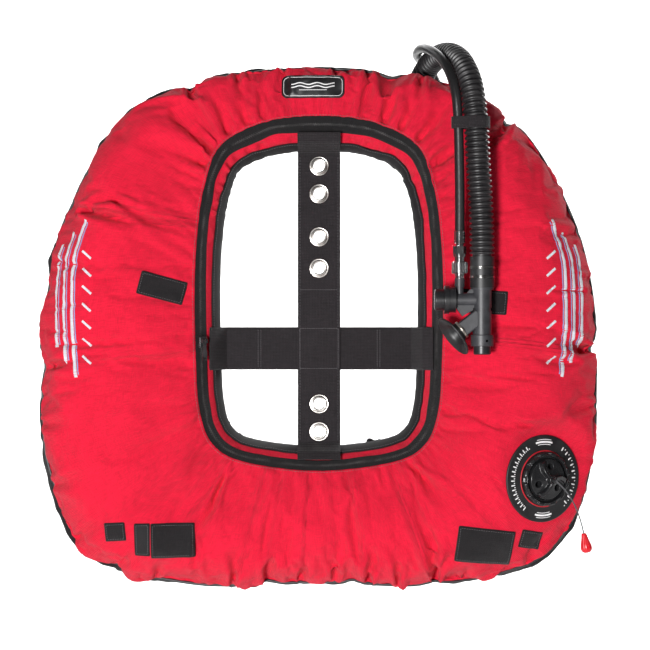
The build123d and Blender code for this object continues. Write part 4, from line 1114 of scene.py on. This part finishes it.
def sewn_patch(name, shape, thickness, crown=0.0, detail=(29, 21)):
    """A closed patch whose underside follows the cover and whose face is smoother.
    Returns the object and a function from patch coordinates to a point on its face."""
    x0, z0, width, height, turn, corner = shape
    columns, rows = detail
    flat = rounded_grid(width, height, corner, columns, rows)
    c, s = math.cos(math.radians(turn)), math.sin(math.radians(turn))

    def place(u, v):
        return x0 + u * c - v * s, z0 + u * s + v * c

    under = np.zeros((rows, columns))
    for i in range(rows):
        for j in range(columns):
            hit = surface_at(*place(*flat[i, j]))
            under[i, j] = hit[1] if hit is not None else 0
    base = np.minimum(fitted_heights(flat, under) * 0.65 + under * 0.35, under)
    rim = 1 - np.maximum(np.abs(flat[..., 0]) / (width / 2), np.abs(flat[..., 1]) / (height / 2))
    edge = np.clip(rim * min(width, height) / 2 / 1.2, 0, 1) ** 0.5
    top = base - thickness * (0.55 + 0.45 * edge) - crown * np.clip(rim * 2, 0, 1)
    vertices = []
    for heights in (top, under + 1.0):
        for y, (u, v) in zip(heights.ravel(), flat.reshape(-1, 2)):
            x, z = place(u, v)
            vertices.append((x, y, z))
    count = rows * columns
    faces = grid_faces(rows, columns)
    faces += [tuple(count + k for k in face[::-1]) for face in faces]
    ring = [i * columns + j for i, j in rim_of(rows, columns)]
    faces += [(a, b, b + count, a + count) for a, b in zip(ring, ring[1:] + ring[:1])]
    obj = add_mesh(name, vertices, faces)
    fix_normals(obj)
    layer = obj.data.uv_layers.new(name="cloth")
    for loop in obj.data.loops:
        co = obj.data.vertices[loop.vertex_index].co
        layer.data[loop.index].uv = (co.x * c + co.z * s, -co.x * s + co.z * c)

    def face_point(u, v, lift=0.0):
        j = np.interp(u, (-width / 2, width / 2), (0, columns - 1))
        i = np.interp(v, (-height / 2, height / 2), (0, rows - 1))
        i0, j0 = min(int(i), rows - 2), min(int(j), columns - 2)
        fi, fj = i - i0, j - j0
        y = ((top[i0, j0] * (1 - fj) + top[i0, j0 + 1] * fj) * (1 - fi)
             + (top[i0 + 1, j0] * (1 - fj) + top[i0 + 1, j0 + 1] * fj) * fi)
        x, z = place(u, v)
        return Vector((x, y - lift, z))

    return obj, face_point


def stitched_box(bits, face_point, box, **options):
    """Stitches round a rectangle, given by its width and height, on a patch's face."""
    w, h = box[0] / 2, box[1] / 2
    corners = [(-w, -h), (w, -h), (w, h), (-w, h), (-w, -h)]
    for (u0, v0), (u1, v1) in zip(corners, corners[1:]):
        line = [face_point(u0 + (u1 - u0) * k / 12, v0 + (v1 - v0) * k / 12) for k in range(13)]
        stitch_along(bits, line, [FRONT] * 13, **options)


# Name: shape as in the CAD, thickness, slot, look.
SEWN = {
    "left_keeper_strap": ((-180, 28, 53, 27, -15, 1.5), 2.2, "black_webbing", "black_nylon"),
    "right_keeper_strap": ((188, 12, 53, 27, -4, 1.5), 2.2, "black_webbing", "black_nylon"),
    "left_flap": ((-167, -261, 50, 40, 1, 1.5), 3.0, "black_nylon", "black_nylon"),
    "left_flap_elastic": ((-202, -260, 18, 38, 0, 1.5), 1.8, "elastic", "elastic"),
    "right_flap": ((190, -268, 66, 42, -7, 1.5), 3.0, "black_nylon", "black_nylon"),
    "left_loop": ((-233, -251, 24, 22, 4, 1.5), 2.0, "black_webbing", "black_nylon"),
    "right_loop": ((244, -262, 26, 22, -12, 1.5), 2.0, "black_webbing", "black_nylon"),
}
SEWN_CROWN, STITCH_INSET = 0.6, 2.4


def make_sewn_pieces():
    bits = Bits()
    for name, (shape, thickness, slot, look) in SEWN.items():
        patch, face_point = sewn_patch(name + "_cloth", shape, thickness, SEWN_CROWN)
        finish_piece(patch, "root", slot, name, look=look)
        box = (shape[2] - 2 * STITCH_INSET, shape[3] - 2 * STITCH_INSET)
        stitched_box(bits, face_point, box, pitch=2.8, length=1.9, width=0.45)
    bits.finish("patch_stitching", "root", "black_webbing", "grey_thread")


make_sewn_pieces()

NAME_PATCH = (-7, 262, 73, 27, 0, 7)
PRINT_LIFT, PRINT_STEPS, RIPPLE_LENGTH = 0.12, 40, 3.2
# Height on the patch, half length, ripple and width of each printed line.
PRINTED_LINES = [(3.2, 25, 1.1, 1.5), (-0.4, 25, 1.1, 1.5), (-4.2, 16, 0.0, 0.8)]


def make_name_patch():
    """A rubber patch with a plain outline and waves, where a maker would put a name."""
    patch, face_point = sewn_patch("name_patch_rubber", NAME_PATCH, 2.6, detail=(49, 25))
    finish_piece(patch, "root", "patch_rubber", "name_patch")
    outline = rounded_grid(68, 22, 5.5, 25, 13)
    ring = [face_point(*outline[i, j], PRINT_LIFT) for i, j in rim_of(13, 25)]
    bits = Bits()
    for start, end in zip(ring, ring[1:] + ring[:1]):
        bits.bar(start, end, 1.25, 0.7, 0.5)
    for height, half, ripple, width in PRINTED_LINES:
        places = [-half + 2 * half * k / PRINT_STEPS for k in range(PRINT_STEPS + 1)]
        line = [face_point(u, height + ripple * math.sin(u / RIPPLE_LENGTH), PRINT_LIFT) for u in places]
        for start, end in zip(line, line[1:]):
            bits.bar(start, end, 1.3, width, 0.5)
    bits.finish("name_patch_pattern", "root", "patch_rubber", "white_print")


make_name_patch()


# ------------------------------------------------------------------ embroidered stripes
THREAD_PITCH, THREAD_WIDTH, THREAD_HEIGHT = 0.8, 1.0, 0.7


def embroidered_bar(bits, points, width):
    """A satin stitched bar: threads side by side across a line on the cover."""
    points = np.array([surface_at(x, z) for x, z in points])
    directions = np.gradient(points, axis=0)
    reach = lengths_along(points)
    for at in np.arange(0, reach[-1], THREAD_PITCH):
        hit, normal, _, _ = front_tree.find_nearest(value_at(at, reach, points) * MM)
        if normal.y > 0:
            normal = -normal
        across = value_at(at, reach, directions).normalized().cross(normal)
        bits.grain(hit / MM + normal * 0.35, across, normal, width, THREAD_WIDTH, THREAD_HEIGHT)


def side_line(side, offset, z0, z1):
    """Points down one side of the wing, offset inwards from a gently curved line."""
    heights = np.linspace(z0, z1, 24)
    edge = 309 - 6 * np.abs((heights - 10) / 90) ** 2 - 4 * (heights > 60) * (heights - 60) / 20
    return [(side * (e - offset), h) for e, h in zip(edge, heights)]


# Offset inwards and both ends' heights of each long stripe.
STRIPES = [(6, 78, -40), (16, 92, -58), (26, 106, -74)]
WHITE_WIDTH, BLUE_WIDTH, BLUE_OFFSET, SHORT_WIDTH = 4.2, 1.5, 3.4, 3.0


def make_embroidery():
    white, blue = Bits(), Bits()
    for side in (-1, 1):
        for offset, z0, z1 in STRIPES:
            embroidered_bar(white, side_line(side, offset, z0, z1), WHITE_WIDTH)
            embroidered_bar(blue, side_line(side, offset + BLUE_OFFSET, z0 - 3, z1 + 3), BLUE_WIDTH)
        for height in range(70, -51, -20):
            line = [(side * (270 - k * 2.5), height - 2.2 * k) for k in range(5)]
            embroidered_bar(white, line, SHORT_WIDTH)
    white.finish("embroidery_white", "root", "black_binding", "white_thread")
    blue.finish("embroidery_blue", "root", "black_binding", "blue_thread")


make_embroidery()


# ------------------------------------------------------------------ strap stitching
STRAP_FACE, CROSS_FACE = -2.15, 0.0       # y of the upright and the cross strap's stitches
FINE = {"pitch": 2.6, "length": 1.9, "width": 0.5, "lift": 0.0}
LONG = {"pitch": 3.4, "length": 2.4, "width": 0.4, "lift": 0.0}
BOX_X, BOX_LOW, BOX_HIGH = 22.5, -65.5, -18.5
# x, z of both ends, y, stitch.
STRAP_LINES = [
    (-BOX_X, BOX_HIGH, BOX_X, BOX_HIGH, STRAP_FACE, FINE),
    (-BOX_X, BOX_LOW, BOX_X, BOX_LOW, STRAP_FACE, FINE),
    (-BOX_X, BOX_LOW, -BOX_X, BOX_HIGH, STRAP_FACE, FINE),
    (BOX_X, BOX_LOW, BOX_X, BOX_HIGH, STRAP_FACE, FINE),
    (-BOX_X, 27, BOX_X, 27, STRAP_FACE, FINE),
    (-71.6, -64, -71.6, -20, CROSS_FACE, FINE), (-68.4, -64, -68.4, -20, CROSS_FACE, FINE),
    (68.4, -64, 68.4, -20, CROSS_FACE, FINE), (71.6, -64, 71.6, -20, CROSS_FACE, FINE),
    (-22.3, -150, -22.3, 183, STRAP_FACE, LONG), (22.3, -150, 22.3, 183, STRAP_FACE, LONG),
]


def make_strap_stitching():
    bits = Bits()
    for x0, z0, x1, z1, y, stitch in STRAP_LINES:
        stitch_along(bits, [(x0, y, z0), (x1, y, z1)], [FRONT] * 2, **stitch)
    bits.finish("strap_stitching", "root", "black_webbing", "grey_thread")


make_strap_stitching()

# ------------------------------------------------------------------ eyelets
EYELET_HEIGHTS = (172.3, 139.7, 89.1, 52.3, -107.1, -139.7)
EYELET_PROFILE = [
    (6.5, 1.4), (6.5, -2.2),
    *((8.0 - 1.5 * math.cos(math.pi * k / 8), -2.4 - 1.35 * math.sin(math.pi * k / 8)) for k in range(9)),
    (10.4, -3.25), (11.3, -2.9), (11.75, -2.3), (11.6, -2.06), (7.2, -2.06), (7.2, 1.4),
]


def make_eyelets():
    rings = Bits()
    for z in EYELET_HEIGHTS:
        ring = lathe("eyelet", EYELET_PROFILE, Vector((0, 0, z)), Vector((0, 1, 0)), 56)
        rings.add([v.co / MM for v in ring.data.vertices], [tuple(p.vertices) for p in ring.data.polygons])
        bpy.data.objects.remove(ring)
    rings.finish("eyelet_rings", "root", "eyelet_steel", "eyelet_steel", "grommet_eyelets")


make_eyelets()

# ------------------------------------------------------------------ cross strap
CROSS_PATH = [(-126.5, -30), (-121, -24), (-109, 1.15), (109, 1.15), (121, -24), (132.5, -34)]
CROSS_STRAP_Z, STRAP_HALF, STRAP_HALF_THICK = -42.0, 25.0, 1.0


def make_cross_strap():
    """Webbing with rounded edges along its path, which bends down behind the opening's edge."""
    line, at = spaced(np.array([(x, y, CROSS_STRAP_Z) for x, y in CROSS_PATH]), 1.0)
    ends = line[[0, -1]]
    kernel = np.hanning(7) / np.hanning(7).sum()
    for k in range(2):
        line[:, k] = np.convolve(np.pad(line[:, k], 3, mode="edge"), kernel, "valid")
    line[[0, -1]] = ends
    tangent = np.gradient(line, axis=0)
    normal = np.stack([-tangent[:, 1], tangent[:, 0], 0 * at], 1)
    normal /= np.linalg.norm(normal, axis=1, keepdims=True)
    across = np.linspace(-1, 1, 27)
    swell = STRAP_HALF_THICK * np.sqrt(np.clip(1 - np.abs(across) ** 18, 0.04, 1))
    section = [(STRAP_HALF * a, -h) for a, h in zip(across, swell)]
    section += [(STRAP_HALF * a, h) for a, h in zip(across[::-1], swell[::-1])]
    grid = np.array([line + normal * side + (0, 0, v) for v, side in section])
    reach = lengths_along(np.array(section))
    uv = np.stack(np.broadcast_arrays(reach[:, None], at[None, :]), 2)
    strap = grid_object("cross_strap_webbing", grid, uv)

    def close_ends(bm):
        bmesh.ops.holes_fill(bm, edges=bm.edges, sides=0)
        bmesh.ops.recalc_face_normals(bm, faces=bm.faces)

    edit_mesh(strap, close_ends)
    finish_piece(strap, "root", "black_webbing", "horizontal_webbing", look="strap_webbing")


make_cross_strap()


# ------------------------------------------------------------------ dump valve
def valve_point(radius, angle, height):
    return VALVE_CENTRE + turned(VALVE_SIDE, VALVE_UP, angle) * radius + VALVE_AXIS * height


def valve_surface(name, rows):
    """A closed surface round the valve, from each angle's (radius, height) points."""
    grid = [valve_point(r, angle, h) for angle, row in rows for r, h in row]
    faces = grid_faces(len(rows), len(rows[0][1]), wrap_rows=True, wrap_columns=True)
    obj = add_mesh(name, grid, faces)
    fix_normals(obj)
    return obj


PATCH_INNER, PATCH_OUTER, PATCH_RISE, PATCH_BEVEL = 31.7, 50.4, 2.0, 0.8
RING_R, RING_HEIGHT, RING_WIRE = 32.1, 1.5, 0.75


def patch_face(radius, angle):
    """Height of the rubber patch's face: a lip at the cap, then down with the fabric."""
    skin = float(valve_skin(radius, radius * math.cos(angle)))
    return skin + PATCH_RISE + 0.6 * math.exp(-(radius - PATCH_INNER) / 3.5)


def make_valve_patch():
    upper = np.r_[np.linspace(PATCH_INNER, PATCH_OUTER - PATCH_BEVEL, 16), PATCH_OUTER - 0.3, PATCH_OUTER]
    lower = (PATCH_OUTER, PATCH_OUTER - 4, PATCH_INNER + 3, PATCH_INNER)
    rows = []
    for angle in turn_angles(120):
        row = [(r, patch_face(r, angle) - max(0, r - PATCH_OUTER + PATCH_BEVEL) ** 2) for r in upper]
        rows.append((angle, row + [(r, patch_face(r, angle) - 2.6) for r in lower]))
    patch = valve_surface("valve_patch_rubber", rows)
    finish_piece(patch, "root", "patch_rubber", "valve_patch")
    wire = [(RING_R + RING_WIRE * math.cos(a), RING_HEIGHT + RING_WIRE * math.sin(a))
            for a in turn_angles(12)]
    ring = lathe("valve_red_ring", wire, VALVE_CENTRE, VALVE_AXIS, 96)
    finish_piece(ring, "root", "patch_rubber", look="red_print")


# First and last angle, step, then radius, length round and length outwards of each mark.
VALVE_MARKS = [
    (128, 238, 7.2, 42.2, 1.6, 5.2), (131.4, 241.4, 7.2, 40.4, 1.3, 1.6),
    (-52, 50, 10.5, 42.2, 1.8, 5.2), (-47, 55, 10.5, 44.0, 1.3, 1.6),
    *((middle - reach, middle + reach + 0.1, 1.5, radius, 1.3, size) for middle in (90, 270)
      for radius, size, reach in ((39.6, 0.8, 12), (42.4, 2.2, 15), (45.2, 0.8, 12))),
]


def make_valve_marks():
    """Plain ticks and rules, where a maker would print words."""
    def on_face(radius, angle):
        return valve_point(radius, angle, patch_face(radius, angle) + 0.05)

    bits = Bits()
    for first, last, step, radius, round_size, outward_size in VALVE_MARKS:
        for angle in np.radians(np.arange(first, last, step)):
            place = on_face(radius, angle)
            ahead = on_face(radius, angle + 0.02) - place
            outwards = on_face(radius + 0.5, angle) - place
            bits.grain(place, outwards, ahead.cross(outwards), outward_size, round_size, 0.5)
    bits.finish("valve_patch_marks", "root", "patch_rubber", "white_print")


CAP_HUB, CAP_DOME, CAP_MOAT, CAP_RIM = 20.6, 9.6, 3.5, 9.0              # heights
DOME_R, MOAT_R, NOTCH_R, CAP_R, CAP_CHAMFER_R = 23.6, 26.6, 28.2, 31.0, 30.2
HUB_R, HUB_HOLE_R, VENT_R, VENT_PLACE_R = 4.6, 2.2, 3.3, 14.8
CAP_BOTTOM = -3.5


def step_up(value, width=0.35):
    """0 well below zero and 1 well above it, with a soft step between."""
    return 0.5 + 0.5 * math.tanh(value / width)


def cap_height(radius, angle):
    """The cap's face: a dome with three curved fins, vents, a moat and a notched rim."""
    share = radius / DOME_R
    dome = CAP_DOME + 7.5 * max(0.0, 1 - share) ** 1.6
    for turn in range(3):
        middle = math.radians(100 + 120 * turn) + 0.5 * share ** 1.5
        side = radius * ((angle - middle + math.pi) % (2 * math.pi) - math.pi)
        crest = CAP_HUB - 7.5 * share ** 1.7 - 0.35 * side
        fin = step_up(1.7 + 1.6 * share - abs(side)) * step_up(DOME_R - 1.2 - radius)
        dome += max(0.0, crest - dome) * fin
        vent = math.radians(160 + 120 * turn)
        vent_x = radius * math.cos(angle) - VENT_PLACE_R * math.cos(vent)
        vent_z = radius * math.sin(angle) - VENT_PLACE_R * math.sin(vent)
        dome -= (dome - 1.0) * step_up(VENT_R - math.hypot(vent_x, vent_z), 0.25)
    dome += (CAP_HUB - dome) * step_up(HUB_R - radius)
    dome -= 8 * step_up(HUB_HOLE_R - radius, 0.15)
    notch = step_up(2.2 * math.cos(12 * angle) - 0.4, 0.5)
    rim = CAP_RIM - 2.8 * notch * step_up(radius - NOTCH_R) - 0.9 * step_up(radius - 30.4, 0.3)
    height = dome + (CAP_MOAT - dome) * step_up(radius - DOME_R)
    return height + (rim - height) * step_up(radius - MOAT_R)


def make_valve_cap():
    radii = np.r_[np.linspace(0.3, 5.4, 14), np.linspace(5.8, 23, 42), np.linspace(23.2, 27.4, 16),
                  np.linspace(27.8, CAP_R, 12)]
    below = [(CAP_R, 2.6), (CAP_CHAMFER_R, 2.2), (MOAT_R, 2.2), (MOAT_R, CAP_BOTTOM), (0.3, CAP_BOTTOM)]
    rows = [(angle, [(r, cap_height(r, angle)) for r in radii] + below) for angle in turn_angles(264)]
    cap = valve_surface("valve_cap_detailed", rows)
    finish_piece(cap, "root", "black_plastic", "valve_cap", look="cap_plastic")


make_valve_patch()
make_valve_marks()
make_valve_cap()

# ------------------------------------------------------------------ mouthpiece
ORAL_START = Vector((184.5, -87, -1.9))
ORAL_AXIS = Vector((-0.79, 0, -0.613)).normalized()
MOUTH_PLACE, MOUTH_TILT, MOUTH_BASE = 37.5, math.radians(24), -7.0
# Height on the mouthpiece's own axis, then the oval's half width and half length.
MOUTH_OVALS = [
    (MOUTH_BASE, 9.2, 9.2), (MOUTH_BASE, 10.6, 10.6), (-2.0, 11.0, 11.4), (0.5, 12.2, 15),
    (2.2, 15.2, 22.5), (3.2, 16.4, 25), (4.4, 16.7, 25.4), (5.2, 16.2, 24.8), (5.2, 15.2, 23.6),
    (4.2, 13.8, 21.4), (2.4, 10.6, 16), (0.6, 8.6, 11.5), (-3.0, 7.8, 9.2), (MOUTH_BASE, 7.6, 7.6),
]
BAND_PROFILE = [(8.9, 27.6), (10.4, 27.7), (10.8, 28.2), (10.8, 30.2), (10.4, 30.7), (8.9, 30.8)]


def make_mouthpiece():
    """An oval rubber lip that leans forwards on the oral tube, held by a band."""
    centre = ORAL_START + ORAL_AXIS * MOUTH_PLACE
    axis = turned(ORAL_AXIS, FRONT, MOUTH_TILT)
    longways = ORAL_AXIS.cross(-FRONT).normalized()
    sideways = axis.cross(longways)
    steps, grid = 72, []
    for height, half_width, half_length in MOUTH_OVALS:
        share = min(max(1 - height / MOUTH_BASE, 0), 1)
        place = centre + (ORAL_AXIS * (1 - share) + axis * share).normalized() * height
        grid += [place + turned(sideways * half_width, longways * half_length, a)
                 for a in turn_angles(steps)]
    faces = grid_faces(len(MOUTH_OVALS), steps, wrap_rows=True, wrap_columns=True)
    piece = add_mesh("mouthpiece_oval", grid, faces)
    fix_normals(piece)
    subdivide(piece)
    finish_piece(piece, "hose_assembly", "cuff_rubber", "mouthpiece")
    band = lathe("mouthpiece_band", BAND_PROFILE, ORAL_START, ORAL_AXIS, 64)
    finish_piece(band, "hose_assembly", "spring_steel", look="satin_band")


make_mouthpiece()


# ------------------------------------------------------------------ springs
def make_spring(name, start, direction, sizes, body):
    """A coil of even pitch from the start along the direction. Sizes: coil radius, wire radius, pitch,
    length.
    """
    radius, wire, pitch, length = sizes
    side, other = square_to(direction)
    points = [start + direction * at + turned(side, other, 2 * math.pi * at / pitch) * radius
              for at in np.linspace(0, length, round(36 * length / pitch))]
    coil = tube(name + "_coil", np.array(points), [wire] * len(points), 10)
    finish_piece(coil, body, "spring_steel", name)
    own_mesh(coil)


make_spring("valve_spring", VALVE_CENTRE - VALVE_AXIS * 8.8, VALVE_AXIS, (9, 0.6, 3.4, 13.6),
            "root")
make_spring("inflate_spring", Vector((134.1, -87, 14)), Vector((1, 0, 0)), (6, 0.55, 2.8, 15.4),
            "hose_assembly")
make_spring("deflate_spring", Vector((184.5, -87, -44.2)), Vector((0, 0, 1)), (5.5, 0.55, 2.8, 14),
            "hose_assembly")

# ------------------------------------------------------------------ stage and light, in metres
FLOOR_Z = cad_box[0].z - 0.20
STAGE_BACK, STAGE_FRONT, STAGE_TOP, STAGE_HALF, STAGE_BEND = 3.6, -1.4, 1.6, 1.7, 0.8


def make_stage():
    """A pale floor that bends up into a wall behind the object."""
    profile = [(STAGE_FRONT, FLOOR_Z)]
    profile += [(STAGE_BACK - STAGE_BEND + STAGE_BEND * math.sin(a),
                 FLOOR_Z + STAGE_BEND - STAGE_BEND * math.cos(a)) for a in np.linspace(0, math.pi / 2, 16)]
    profile.append((STAGE_BACK, STAGE_TOP))
    vertices = [(x / MM, y / MM, z / MM) for y, z in profile for x in (-STAGE_HALF, STAGE_HALF)]
    faces = [(2 * k, 2 * k + 1, 2 * k + 3, 2 * k + 2) for k in range(len(profile) - 1)]
    stage = add_mesh("pale_floor", vertices, faces)
    material = Nodes("pale_floor", (0.86, 0.86, 0.86), 0.9)
    cloud = material.noise(material.place(False), 3, 2)
    material.tint(cloud, (0.84, 0.84, 0.84), (0.88, 0.88, 0.88))
    stage.data.materials.append(material.material)


# Name: place, target, size, watts.
LIGHTS = {
    "key": ((-0.55, -2.2, -0.28), (0, 0, -0.02), (0.4, 0.4), 68),
    "fill": ((1.5, -1.5, 0.9), (0, 0, 0), (0.8, 0.8), 3.5),
    "rear": ((1.6, 1.3, 0.7), (0, 0, 0), (0.6, 0.6), 24),
    "floor": ((0, 1.7, 1.4), (0, 1.9, -0.5), (2.4, 1.2), 60),
    "wall": ((0, 2.3, 1.5), (0, 3.6, 0.1), (2.6, 0.8), 70),
}
WORLD_STRENGTH = 0.05


def make_light():
    for name, (place, target, size, watts) in LIGHTS.items():
        data = bpy.data.lights.new(name, "AREA")
        data.shape = "RECTANGLE"
        data.size, data.size_y = size
        data.energy = watts
        light = linked(name, data)
        light.location = place
        light.rotation_euler = (Vector(target) - Vector(place)).to_track_quat("-Z", "Y").to_euler()
    world = bpy.data.worlds.new("studio")
    world.use_nodes = True
    background = world.node_tree.nodes["Background"]
    background.inputs["Color"].default_value = (1, 1, 1, 1)
    background.inputs["Strength"].default_value = WORLD_STRENGTH
    scene.world = world
    scene.view_settings.view_transform = "Standard"


make_stage()
make_light()
